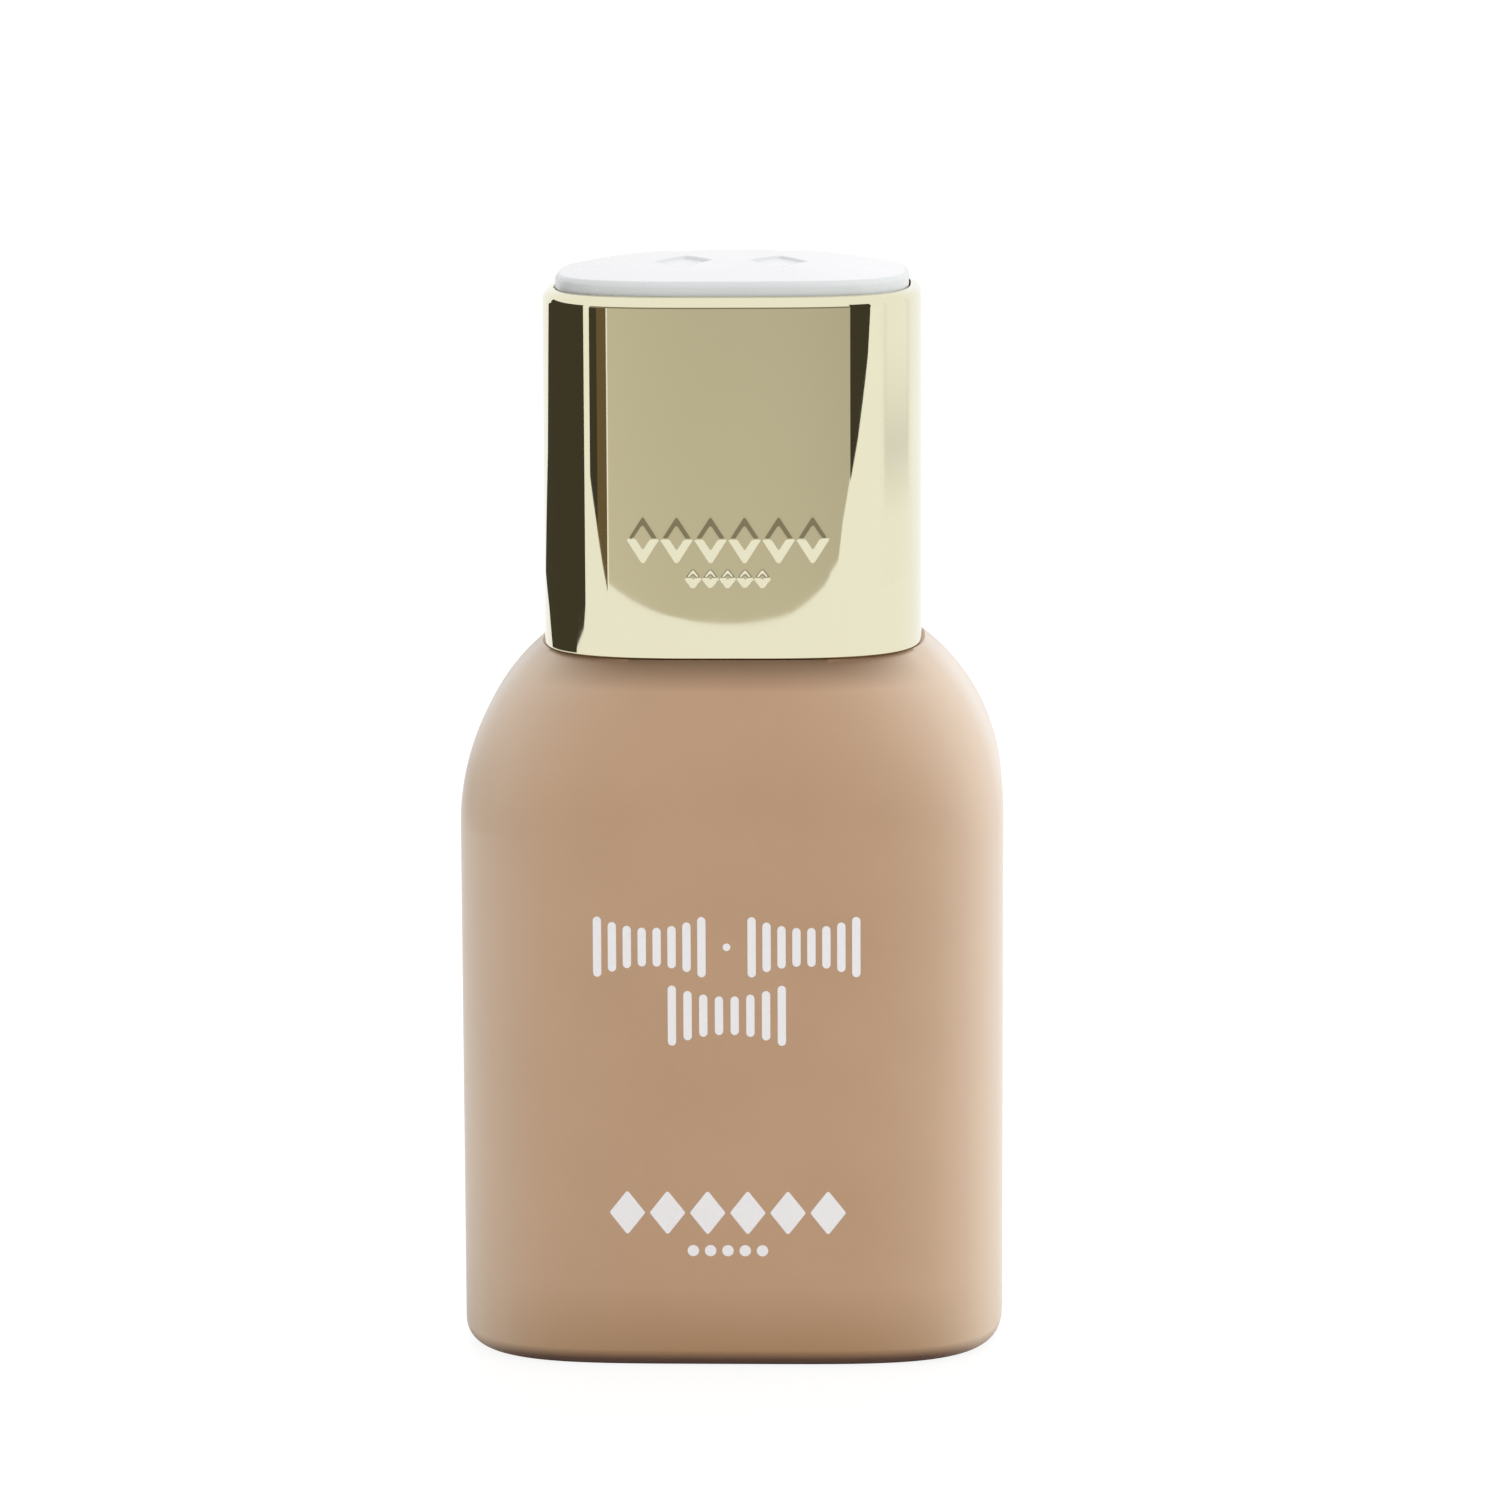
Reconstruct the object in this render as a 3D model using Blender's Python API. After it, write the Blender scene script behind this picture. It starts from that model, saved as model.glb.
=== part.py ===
"""Foundation bottle: a square glass bottle of 30 ml with a lotion pump under a pull-off overcap.

Metres, +Z up. The origin is the centre of the base, on the table. The front faces -Y.
Almost every piece is a stack of closed sections round the Z axis, so one function skins them all.
"""

import math

import bmesh
import bpy
from mathutils import Matrix, Vector

MM = 0.001
FULL_TURN = 2 * math.pi

# Outside of the bottle and of its overcap
BODY_HALF = 20.0 * MM
BODY_POWER = 4.4
HEEL_RADIUS = 1.2 * MM
SHOULDER_START = 38.6 * MM
SHOULDER_RADIUS = 15.9 * MM
LEDGE_Z = 50.5 * MM
LEDGE_POWER = 2.7
CAP_HALF = 13.94 * MM
CAP_POWER = 3.2
CAP_BOTTOM = 51.0 * MM
CAP_TOP = 77.1 * MM
CAP_WALL = 0.95 * MM
CAP_EDGE_RADIUS = 0.7 * MM
PLATE_INSET = 0.95 * MM
PLATE_TOP = 78.2 * MM
PLATE_CROWN = 1.2 * MM

# Inside of the glass
CAVITY_HALF = 15.3 * MM
CAVITY_FLOOR = 6.4 * MM
CAVITY_FLOOR_RADIUS = 2.0 * MM
CAVITY_SHOULDER_START = 37.0 * MM
CAVITY_TOP = 48.0 * MM
FILL_LEVEL = 46.0 * MM
RECESS_RADIUS = 10.5 * MM
RECESS_DEPTH = 1.0 * MM

# Screw finish of the neck, and the threads on both sides of it
NECK_RADIUS = 7.8 * MM
NECK_HEIGHT = 9.4 * MM
BORE_RADIUS = 5.0 * MM
THREAD_PITCH = 3.175 * MM
THREAD_HEIGHT = 1.0 * MM
THREAD_ROOT_WIDTH = 1.7 * MM
THREAD_CREST_WIDTH = 0.8 * MM
NECK_THREAD_TURNS = 1.25
CLOSURE_THREAD_TURNS = 1.0

# Pump, measured from its axis
CLOSURE_RADIUS = 9.9 * MM
CLOSURE_WALL = 0.85 * MM
BARREL_RADIUS = 4.3 * MM
BARREL_BORE = 3.5 * MM
BARREL_LENGTH = 20.0 * MM
STEM_RADIUS = 2.05 * MM
STEM_WAIST = 1.8 * MM
STEM_BORE = 1.2 * MM
BALL_RADIUS = 1.25 * MM
BALL_LIFT = 0.8 * MM
TUBE_RADIUS = 1.5 * MM
TUBE_BORE = 1.0 * MM
TUBE_END = 8.5 * MM
WIRE_RADIUS = 0.28 * MM
SPRING_RADIUS = 2.6 * MM
SPRING_TURNS = 7
ACTUATOR_RADIUS = 6.9 * MM
STROKE = 2.7 * MM
PISTON_SLIP = 0.4 * MM
NOZZLE_RADIUS = 1.5 * MM
NOZZLE_REACH = 10.2 * MM

# Space between neighbours
GAP = 0.3 * MM
FINE_GAP = 0.15 * MM
RUNNING_GAP = 0.1 * MM

# Corners round the axis: on square pieces, on round pieces, and on the pump's small pieces
SQUARE_STEPS = 48
ROUND_STEPS = 32
SMALL_STEPS = 24

# Heights that several pieces share, from the ledge of the glass upwards
NECK_TOP = LEDGE_Z + NECK_HEIGHT
GASKET_BOTTOM = NECK_TOP + FINE_GAP
GASKET_TOP = GASKET_BOTTOM + 0.8 * MM
FLANGE_BOTTOM = GASKET_TOP + FINE_GAP
FLANGE_TOP = FLANGE_BOTTOM + 0.8 * MM
CLOSURE_ROOF = FLANGE_TOP + 0.2 * MM
CLOSURE_DECK = CLOSURE_ROOF + 0.9 * MM
RETAINER_BOTTOM = CLOSURE_DECK + 0.2 * MM
RETAINER_TOP = RETAINER_BOTTOM + 0.8 * MM
ACTUATOR_BOTTOM = RETAINER_TOP + STROKE + GAP
COLLAR_TOP = ACTUATOR_BOTTOM + 0.4 * MM
RECESS_FLOOR = CAP_TOP - 0.6 * MM
CAP_CEILING = RECESS_FLOOR - 0.8 * MM
LINER_TOP = CAP_CEILING - GAP
LINER_CEILING = LINER_TOP - 0.6 * MM
ACTUATOR_TOP = LINER_CEILING - 0.4 * MM
NOZZLE_Z = COLLAR_TOP + GAP + STROKE + NOZZLE_RADIUS
SLEEVE_END = FLANGE_BOTTOM - 3.5 * MM
PISTON_TOP = SLEEVE_END - PISTON_SLIP - RUNNING_GAP
PISTON_BOTTOM = PISTON_TOP - 2.4 * MM
SEAT_TOP = PISTON_BOTTOM - 0.2 * MM
SEAT_BOTTOM = SEAT_TOP - 0.6 * MM
BARREL_STEP = FLANGE_BOTTOM - BARREL_LENGTH
BALL_ROOF = BARREL_STEP + 0.2 * MM
BALL_Z = BALL_ROOF - BALL_LIFT - RUNNING_GAP - BALL_RADIUS
SOCKET_TOP = BARREL_STEP - 4.2 * MM
SOCKET_BOTTOM = SOCKET_TOP - 4.4 * MM


# ---------------------------------------------------------------- helpers


def circle(radius, z):
    return (radius, z, 2)


def section_points(section, steps):
    """Points of a superellipse at one height. Power 2 is a circle, and a higher power is squarer."""
    half, z, power = section
    points = []
    for step in range(steps):
        angle = FULL_TURN * step / steps
        across = abs(math.cos(angle)) ** power + abs(math.sin(angle)) ** power
        radius = half / across ** (1 / power)
        points.append((radius * math.cos(angle), radius * math.sin(angle), z))
    return points


def arc_sections(centre, radii, angles, powers, steps):
    """Sections along an elliptic arc in the half-width and height plane, angles in degrees."""
    sections = []
    for step in range(steps + 1):
        share = step / steps
        angle = math.radians(angles[0] + (angles[1] - angles[0]) * share)
        half = centre[0] + radii[0] * math.cos(angle)
        z = centre[1] + radii[1] * math.sin(angle)
        sections.append((half, z, powers[0] + (powers[1] - powers[0]) * share))
    return sections


def material(name, colour, roughness, metallic=0.0, transmission=0.0):
    made = bpy.data.materials.new(name)
    made.use_nodes = True
    shader = made.node_tree.nodes["Principled BSDF"]
    shader.inputs["Base Color"].default_value = (*colour, 1)
    shader.inputs["Roughness"].default_value = roughness
    shader.inputs["Metallic"].default_value = metallic
    shader.inputs["Transmission Weight"].default_value = transmission
    return made


def object_from(name, bm, origin_z=0.0, look=None):
    """An object whose origin is on the axis at origin_z, from a mesh drawn in world heights."""
    bmesh.ops.translate(bm, verts=bm.verts, vec=(0, 0, -origin_z))
    bmesh.ops.recalc_face_normals(bm, faces=bm.faces)
    mesh = bpy.data.meshes.new(name)
    bm.to_mesh(mesh)
    bm.free()
    mesh.shade_smooth()
    mesh.set_sharp_from_angle(angle=math.radians(35))
    made = bpy.data.objects.new(name, mesh)
    made.location.z = origin_z
    bpy.context.scene.collection.objects.link(made)
    if look:
        mesh.materials.append(look)
    return made


def skin(rings, closed):
    """A mesh that joins point rings in order: a closed loop of rings, or a stack with its ends filled."""
    bm = bmesh.new()
    loops = []
    for ring in rings:
        loops.append([bm.verts.new(point) for point in ring])
    pairs = list(zip(loops, loops[1:]))
    if closed:
        pairs.append((loops[-1], loops[0]))
    else:
        bm.faces.new(loops[0])
        bm.faces.new(loops[-1])
    for first, second in pairs:
        for here in range(len(first)):
            there = (here + 1) % len(first)
            bm.faces.new((first[here], first[there], second[there], second[here]))
    return bm


def stack(name, sections, look, origin_z=0.0, closed=False, steps=ROUND_STEPS):
    """A piece made of sections round the axis. A closed stack is a ring with a hole through it."""
    rings = [section_points(section, steps) for section in sections]
    return object_from(name, skin(rings, closed), origin_z, look)


def combine(target, tool, operation):
    """Adds a live Boolean and hides its tool."""
    tool.hide_render = True
    tool.display_type = "WIRE"
    modifier = target.modifiers.new(tool.name, "BOOLEAN")
    modifier.operation = operation
    modifier.object = tool


def rod(name, radius, start, end):
    """A plain cylinder between two points, for cutting or joining."""
    span = Vector(end) - Vector(start)
    bm = bmesh.new()
    bmesh.ops.create_cone(
        bm,
        cap_ends=True,
        segments=SMALL_STEPS,
        radius1=radius,
        radius2=radius,
        depth=span.length,
    )
    made = object_from(name, bm)
    made.location = (Vector(start) + Vector(end)) / 2
    made.rotation_euler = span.to_track_quat("Z", "Y").to_euler()
    return made


def thread_height(angle):
    """Height of the neck thread's centre line at an angle, counted from its lower end."""
    return LEDGE_Z + 2.6 * MM + THREAD_PITCH * angle / FULL_TURN


def thread_ridge(name, wall, height, drop, first_angle, turns):
    """A helical ridge on a wall radius. It stands out by height, and a negative height points inwards.

    Its foot sinks into the wall and its crest sinks below the surface at both ends, so that
    joining it to the wall leaves one clean body.
    """
    steps = int(ROUND_STEPS * turns)
    fade_steps = ROUND_STEPS / 8
    sink = math.copysign(GAP, height)
    rings = []
    for step in range(steps + 1):
        angle = first_angle + FULL_TURN * step / ROUND_STEPS
        share = min(1.0, step / fade_steps, (steps - step) / fade_steps)
        crest = wall + height * share - 0.5 * sink * (1 - share)
        z = thread_height(angle) - drop
        ring = []
        for radius, side in (
            (wall - sink, -THREAD_ROOT_WIDTH),
            (crest, -THREAD_CREST_WIDTH),
            (crest, THREAD_CREST_WIDTH),
            (wall - sink, THREAD_ROOT_WIDTH),
        ):
            ring.append((radius * math.cos(angle), radius * math.sin(angle), z + side / 2))
        rings.append(ring)
    return object_from(name, skin(rings, closed=False))


# ---------------------------------------------------------------- bottle


def cavity_sections(inset):
    """Inside of the glass from the bore down to the floor, drawn inwards by inset."""
    shoulder = arc_sections(
        (BORE_RADIUS, CAVITY_SHOULDER_START),
        (CAVITY_HALF - BORE_RADIUS - inset, CAVITY_TOP - CAVITY_SHOULDER_START - inset),
        (84, 0),
        (2, BODY_POWER),
        9,
    )
    floor_edge = arc_sections(
        (CAVITY_HALF - CAVITY_FLOOR_RADIUS, CAVITY_FLOOR + CAVITY_FLOOR_RADIUS),
        (CAVITY_FLOOR_RADIUS - inset, CAVITY_FLOOR_RADIUS - inset),
        (0, -90),
        (BODY_POWER, BODY_POWER),
        3,
    )
    return shoulder + floor_edge


def glass_bottle(look):
    heel = arc_sections(
        (BODY_HALF - HEEL_RADIUS, HEEL_RADIUS),
        (HEEL_RADIUS, HEEL_RADIUS),
        (-90, 0),
        (BODY_POWER, BODY_POWER),
        3,
    )
    shoulder_end = math.degrees(math.asin((LEDGE_Z - SHOULDER_START) / SHOULDER_RADIUS))
    shoulder = arc_sections(
        (BODY_HALF - SHOULDER_RADIUS, SHOULDER_START),
        (SHOULDER_RADIUS, SHOULDER_RADIUS),
        (0, shoulder_end),
        (BODY_POWER, LEDGE_POWER),
        8,
    )
    rim = 0.4 * MM
    neck = [
        circle(NECK_RADIUS + rim, LEDGE_Z),
        circle(NECK_RADIUS, LEDGE_Z + rim),
        circle(NECK_RADIUS, NECK_TOP - rim),
        circle(NECK_RADIUS - rim, NECK_TOP),
        circle(BORE_RADIUS + rim, NECK_TOP),
        circle(BORE_RADIUS, NECK_TOP - rim),
        circle(BORE_RADIUS, CAVITY_TOP + 1.0 * MM),
    ]
    recess = [
        circle(RECESS_RADIUS, RECESS_DEPTH),
        circle(RECESS_RADIUS + RECESS_DEPTH, 0),
    ]
    sections = recess + heel + shoulder + neck + cavity_sections(0)
    bottle = stack("glass_bottle", sections, look, steps=SQUARE_STEPS)
    thread = thread_ridge("neck_thread", NECK_RADIUS, THREAD_HEIGHT, 0, 0, NECK_THREAD_TURNS)
    combine(bottle, thread, "UNION")
    return bottle


def foundation_fill(look):
    """The liquid up to its level, with a channel where the pump hangs in it."""
    walls = [section for section in cavity_sections(GAP) if section[1] < FILL_LEVEL]
    channel = [
        circle(BARREL_RADIUS + GAP, FILL_LEVEL),
        circle(BARREL_RADIUS + GAP, SOCKET_BOTTOM - GAP),
        circle(TUBE_RADIUS + GAP, SOCKET_BOTTOM - GAP),
        circle(TUBE_RADIUS + GAP, TUBE_END - GAP),
    ]
    height = (FILL_LEVEL - CAVITY_SHOULDER_START) / (CAVITY_TOP - CAVITY_SHOULDER_START - GAP)
    surface_angle = math.asin(height)
    width = (CAVITY_HALF - BORE_RADIUS - GAP) * math.cos(surface_angle)
    power = BODY_POWER + (2 - BODY_POWER) * math.degrees(surface_angle) / 84
    surface = (BORE_RADIUS + width, FILL_LEVEL, power)
    sections = list(reversed(walls)) + [surface] + channel
    return stack("foundation_fill", sections, look, CAVITY_FLOOR)


def shade_label(look):
    """Round sticker in the recess under the base."""
    top = RECESS_DEPTH - GAP
    radius = RECESS_RADIUS - 0.5 * MM
    sections = [circle(radius, top - 0.2 * MM), circle(radius, top)]
    return stack("shade_label", sections, look, top)


# ---------------------------------------------------------------- pump unit


def neck_gasket(look):
    inner = BARREL_RADIUS + GAP
    outer = NECK_RADIUS - 0.1 * MM
    sections = [
        circle(inner, GASKET_BOTTOM),
        circle(outer, GASKET_BOTTOM),
        circle(outer, GASKET_TOP),
        circle(inner, GASKET_TOP),
    ]
    return stack("neck_gasket", sections, look, GASKET_BOTTOM, closed=True)


def pump_housing(look):
    """Flange, barrel, ball seat and tube socket in one moulding, with a vent hole high in the barrel."""
    flange_radius = CLOSURE_RADIUS - CLOSURE_WALL - 0.85 * MM
    snap_radius = BARREL_RADIUS + 0.6 * MM
    snap_top = CLOSURE_DECK - GAP
    socket_radius = TUBE_RADIUS + 1.2 * MM
    chamber = BALL_RADIUS + 0.65 * MM
    inlet = 0.8 * MM
    seat_gap = (BALL_RADIUS + RUNNING_GAP) * math.sqrt(2)
    cone_bottom = BALL_Z - seat_gap + inlet
    sections = [
        circle(snap_radius, snap_top),
        circle(snap_radius, FLANGE_TOP),
        circle(flange_radius, FLANGE_TOP),
        circle(flange_radius, FLANGE_BOTTOM),
        circle(BARREL_RADIUS, FLANGE_BOTTOM),
        circle(BARREL_RADIUS, BARREL_STEP - 1.0 * MM),
        circle(socket_radius, SOCKET_TOP + 0.8 * MM),
        circle(socket_radius, SOCKET_BOTTOM),
        circle(TUBE_RADIUS + FINE_GAP, SOCKET_BOTTOM),
        circle(TUBE_RADIUS + FINE_GAP, SOCKET_TOP),
        circle(inlet, SOCKET_TOP),
        circle(inlet, cone_bottom),
        circle(chamber, cone_bottom + chamber - inlet),
        circle(chamber, BARREL_STEP),
        circle(BARREL_BORE, BARREL_STEP),
        circle(BARREL_BORE, snap_top),
    ]
    housing = stack(
        "pump_housing", sections, look, FLANGE_BOTTOM, closed=True, steps=SMALL_STEPS
    )
    vent_z = SLEEVE_END + 1.0 * MM
    middle = (BARREL_RADIUS + BARREL_BORE) / 2
    vent = rod("vent_cutter", 0.4 * MM, (0, middle - 1 * MM, vent_z), (0, middle + 1 * MM, vent_z))
    combine(housing, vent, "DIFFERENCE")
    return housing


def pump_retainer(look):
    """Snap-in disc that traps the closure on the housing. Its sleeve guides the stem and stops the piston."""
    stem_hole = STEM_RADIUS + 0.25 * MM
    sleeve = BARREL_BORE - 0.2 * MM
    disc = BARREL_RADIUS + 1.9 * MM
    sections = [
        circle(stem_hole, RETAINER_TOP),
        circle(stem_hole, SLEEVE_END),
        circle(sleeve, SLEEVE_END),
        circle(sleeve, RETAINER_BOTTOM),
        circle(disc, RETAINER_BOTTOM),
        circle(disc, RETAINER_TOP - 0.2 * MM),
        circle(disc - 0.2 * MM, RETAINER_TOP),
    ]
    return stack(
        "pump_retainer", sections, look, RETAINER_BOTTOM, closed=True, steps=SMALL_STEPS
    )


def dip_tube(look):
    """Feed tube with a slanted lower end, so that the bottle's floor can't close it."""
    top = SOCKET_TOP - 0.2 * MM
    sections = [
        circle(TUBE_BORE, TUBE_END),
        circle(TUBE_RADIUS, TUBE_END),
        circle(TUBE_RADIUS, top),
        circle(TUBE_BORE, top),
    ]
    tube = stack("dip_tube", sections, look, top, closed=True, steps=SMALL_STEPS)
    for vertex in tube.data.vertices:
        if vertex.co.z < TUBE_END - top + 0.1 * MM:
            vertex.co.z += vertex.co.x + TUBE_RADIUS
    return tube


def ball_retainer(look):
    """Washer on the barrel's step. It keeps the ball in its chamber and carries the spring."""
    top = BALL_ROOF + 0.8 * MM
    sections = [
        circle(0.7 * MM, BALL_ROOF),
        circle(BARREL_BORE - 0.2 * MM, BALL_ROOF),
        circle(BARREL_BORE - 0.2 * MM, top),
        circle(0.7 * MM, top),
    ]
    return stack(
        "ball_retainer", sections, look, BALL_ROOF, closed=True, steps=SMALL_STEPS
    )


def return_spring(look):
    """Compression spring with a closed coil at each end."""
    bottom = BALL_ROOF + 0.8 * MM + RUNNING_GAP + WIRE_RADIUS
    top = SEAT_BOTTOM - RUNNING_GAP - WIRE_RADIUS
    closed_rise = 2.2 * WIRE_RADIUS
    steps_per_turn = 12
    steps = SPRING_TURNS * steps_per_turn
    curve = bpy.data.curves.new("return_spring", "CURVE")
    curve.dimensions = "3D"
    curve.bevel_depth = WIRE_RADIUS
    curve.bevel_resolution = 1
    curve.use_fill_caps = True
    curve.materials.append(look)
    spline = curve.splines.new("POLY")
    spline.points.add(steps)
    for step in range(steps + 1):
        turn = step / steps_per_turn
        free = min(max(turn - 1, 0), SPRING_TURNS - 2) / (SPRING_TURNS - 2)
        ends = min(turn, 1) + max(turn - SPRING_TURNS + 1, 0)
        z = closed_rise * ends + (top - bottom - 2 * closed_rise) * free
        angle = FULL_TURN * turn
        spline.points[step].co = (
            SPRING_RADIUS * math.cos(angle),
            SPRING_RADIUS * math.sin(angle),
            z,
            1,
        )
    spring = bpy.data.objects.new("return_spring", curve)
    spring.location.z = bottom
    bpy.context.scene.collection.objects.link(spring)
    return spring


def inlet_ball(look):
    bm = bmesh.new()
    bmesh.ops.create_uvsphere(bm, u_segments=16, v_segments=10, radius=BALL_RADIUS)
    bmesh.ops.translate(bm, verts=bm.verts, vec=(0, 0, BALL_Z))
    return object_from("inlet_ball", bm, BALL_Z, look)


# ---------------------------------------------------------------- plunger


def pump_stem(look):
    """Hollow stem with two notches in its foot, which open when the piston leaves its seat."""
    top = ACTUATOR_BOTTOM + 3.4 * MM
    foot = PISTON_BOTTOM + 0.1 * MM
    step = PISTON_TOP + PISTON_SLIP + 0.05 * MM
    sections = [
        circle(STEM_BORE, top),
        circle(STEM_BORE, foot),
        circle(STEM_WAIST, foot),
        circle(STEM_WAIST, step),
        circle(STEM_RADIUS, step),
        circle(STEM_RADIUS, top),
    ]
    stem = stack("pump_stem", sections, look, foot, closed=True, steps=SMALL_STEPS)
    notch_z = foot + 0.1 * MM
    notches = rod("notch_cutter", 0.4 * MM, (-3 * MM, 0, notch_z), (3 * MM, 0, notch_z))
    combine(stem, notches, "DIFFERENCE")
    return stem


def piston_seat(look):
    """Plug in the foot of the stem. Its flange carries the piston and takes the spring's push."""
    plug = STEM_BORE - 0.2 * MM
    flange = SPRING_RADIUS + 0.4 * MM
    plug_top = PISTON_TOP - 0.4 * MM
    sections = [
        circle(flange, SEAT_BOTTOM),
        circle(flange, SEAT_TOP),
        circle(plug, SEAT_TOP),
        circle(plug, plug_top - 0.3 * MM),
        circle(plug - 0.3 * MM, plug_top),
    ]
    return stack("piston_seat", sections, look, SEAT_BOTTOM, steps=SMALL_STEPS)


def piston(look):
    """Soft ring that wipes the barrel with a lip at each end."""
    wipe = BARREL_BORE - 0.08 * MM
    waist = BARREL_BORE - 0.5 * MM
    bore = STEM_WAIST + 0.1 * MM
    lip = 0.7 * MM
    sections = [
        circle(bore, PISTON_BOTTOM),
        circle(wipe - 0.3 * MM, PISTON_BOTTOM),
        circle(wipe, PISTON_BOTTOM + 0.1 * MM),
        circle(waist, PISTON_BOTTOM + lip),
        circle(waist, PISTON_TOP - lip),
        circle(wipe, PISTON_TOP - 0.1 * MM),
        circle(wipe - 0.3 * MM, PISTON_TOP),
        circle(bore, PISTON_TOP),
    ]
    return stack("piston", sections, look, PISTON_BOTTOM, closed=True, steps=SMALL_STEPS)


def actuator_button(look):
    """Finger button with a nozzle at the front and a channel from the stem's socket to its mouth."""
    edge = 0.9 * MM
    skirt = ACTUATOR_RADIUS - 0.8 * MM
    roof = ACTUATOR_BOTTOM + 2.2 * MM
    boss = STEM_RADIUS + 1.1 * MM
    boss_end = ACTUATOR_BOTTOM + 0.5 * MM
    socket = STEM_RADIUS + 0.2 * MM
    socket_top = ACTUATOR_BOTTOM + 3.6 * MM
    feed = 0.9 * MM
    top_edge = arc_sections(
        (ACTUATOR_RADIUS - edge, ACTUATOR_TOP - edge), (edge, edge), (90, 0), (2, 2), 4
    )
    sections = [circle(ACTUATOR_RADIUS * 0.45, ACTUATOR_TOP - 0.4 * MM)]
    sections += top_edge
    sections += [
        circle(ACTUATOR_RADIUS, ACTUATOR_BOTTOM),
        circle(skirt, ACTUATOR_BOTTOM),
        circle(skirt, roof),
        circle(boss, roof),
        circle(boss, boss_end),
        circle(socket, boss_end),
        circle(socket, socket_top),
        circle(feed, socket_top),
        circle(feed, NOZZLE_Z),
    ]
    button = stack("actuator_button", sections, look, ACTUATOR_BOTTOM)
    nozzle = rod(
        "nozzle_tool",
        NOZZLE_RADIUS,
        (0, -ACTUATOR_RADIUS + 1.5 * MM, NOZZLE_Z),
        (0, -NOZZLE_REACH, NOZZLE_Z),
    )
    channel = rod(
        "channel_cutter", 0.6 * MM, (0, 0, NOZZLE_Z), (0, -NOZZLE_REACH - 1 * MM, NOZZLE_Z)
    )
    combine(button, nozzle, "UNION")
    combine(button, channel, "DIFFERENCE")
    return button


# ---------------------------------------------------------------- closure


def screw_closure(look):
    """Threaded ring under the collar. Its roof hangs on the pump's flange and turns freely on it."""
    bore = CLOSURE_RADIUS - CLOSURE_WALL
    bottom = LEDGE_Z + 0.7 * MM
    hole = BARREL_RADIUS + 1.1 * MM
    crown = COLLAR_TOP - 2.1 * MM
    sections = [
        circle(CLOSURE_RADIUS, bottom),
        circle(CLOSURE_RADIUS, crown),
        circle(CLOSURE_RADIUS - 1.0 * MM, crown),
        circle(CLOSURE_RADIUS - 1.0 * MM, CLOSURE_DECK),
        circle(hole, CLOSURE_DECK),
        circle(hole, CLOSURE_ROOF),
        circle(bore, CLOSURE_ROOF),
        circle(bore, bottom),
    ]
    closure = stack("screw_closure", sections, look, bottom, closed=True)
    flank_gap = 0.2 * MM
    drop = THREAD_CREST_WIDTH + (THREAD_ROOT_WIDTH - THREAD_CREST_WIDTH) / 2 + flank_gap
    reach = 0.85 * MM
    thread = thread_ridge(
        "closure_thread", bore, -reach, drop, FULL_TURN / 4, CLOSURE_THREAD_TURNS
    )
    combine(closure, thread, "UNION")
    return closure


def collar_trim(look):
    """Thin metal sleeve over the closure, rolled in round the button."""
    outer = CLOSURE_RADIUS + 0.6 * MM
    inner = CLOSURE_RADIUS + 0.2 * MM
    wall = outer - inner
    bottom = LEDGE_Z + 0.8 * MM
    mouth = ACTUATOR_RADIUS + 0.4 * MM
    edge = 0.5 * MM
    rolled_edge = arc_sections(
        (outer - edge, COLLAR_TOP - edge), (edge, edge), (0, 90), (2, 2), 3
    )
    sections = [circle(inner, bottom), circle(outer, bottom)]
    sections += rolled_edge
    sections += [
        circle(mouth, COLLAR_TOP),
        circle(mouth, COLLAR_TOP - 1.0 * MM),
        circle(mouth + wall, COLLAR_TOP - 1.0 * MM),
        circle(mouth + wall, COLLAR_TOP - wall),
        circle(inner, COLLAR_TOP - wall),
    ]
    return stack("collar_trim", sections, look, bottom, closed=True)


# ---------------------------------------------------------------- overcap


def overcap_shell(look):
    """Square metal cover with a shallow recess on top for the plate."""
    foot = 0.15 * MM
    inner = CAP_HALF - CAP_WALL
    recess = CAP_HALF - PLATE_INSET + 0.15 * MM
    top_edge = arc_sections(
        (CAP_HALF - CAP_EDGE_RADIUS, CAP_TOP - CAP_EDGE_RADIUS),
        (CAP_EDGE_RADIUS, CAP_EDGE_RADIUS),
        (0, 90),
        (CAP_POWER, CAP_POWER),
        4,
    )
    sections = [
        (inner, CAP_CEILING, CAP_POWER),
        (inner, CAP_BOTTOM, CAP_POWER),
        (CAP_HALF - foot, CAP_BOTTOM, CAP_POWER),
        (CAP_HALF, CAP_BOTTOM + foot, CAP_POWER),
    ]
    sections += top_edge
    sections += [
        (recess, CAP_TOP, CAP_POWER),
        (recess, RECESS_FLOOR, CAP_POWER),
    ]
    return stack("overcap_shell", sections, look, CAP_BOTTOM, steps=SQUARE_STEPS)


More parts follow.
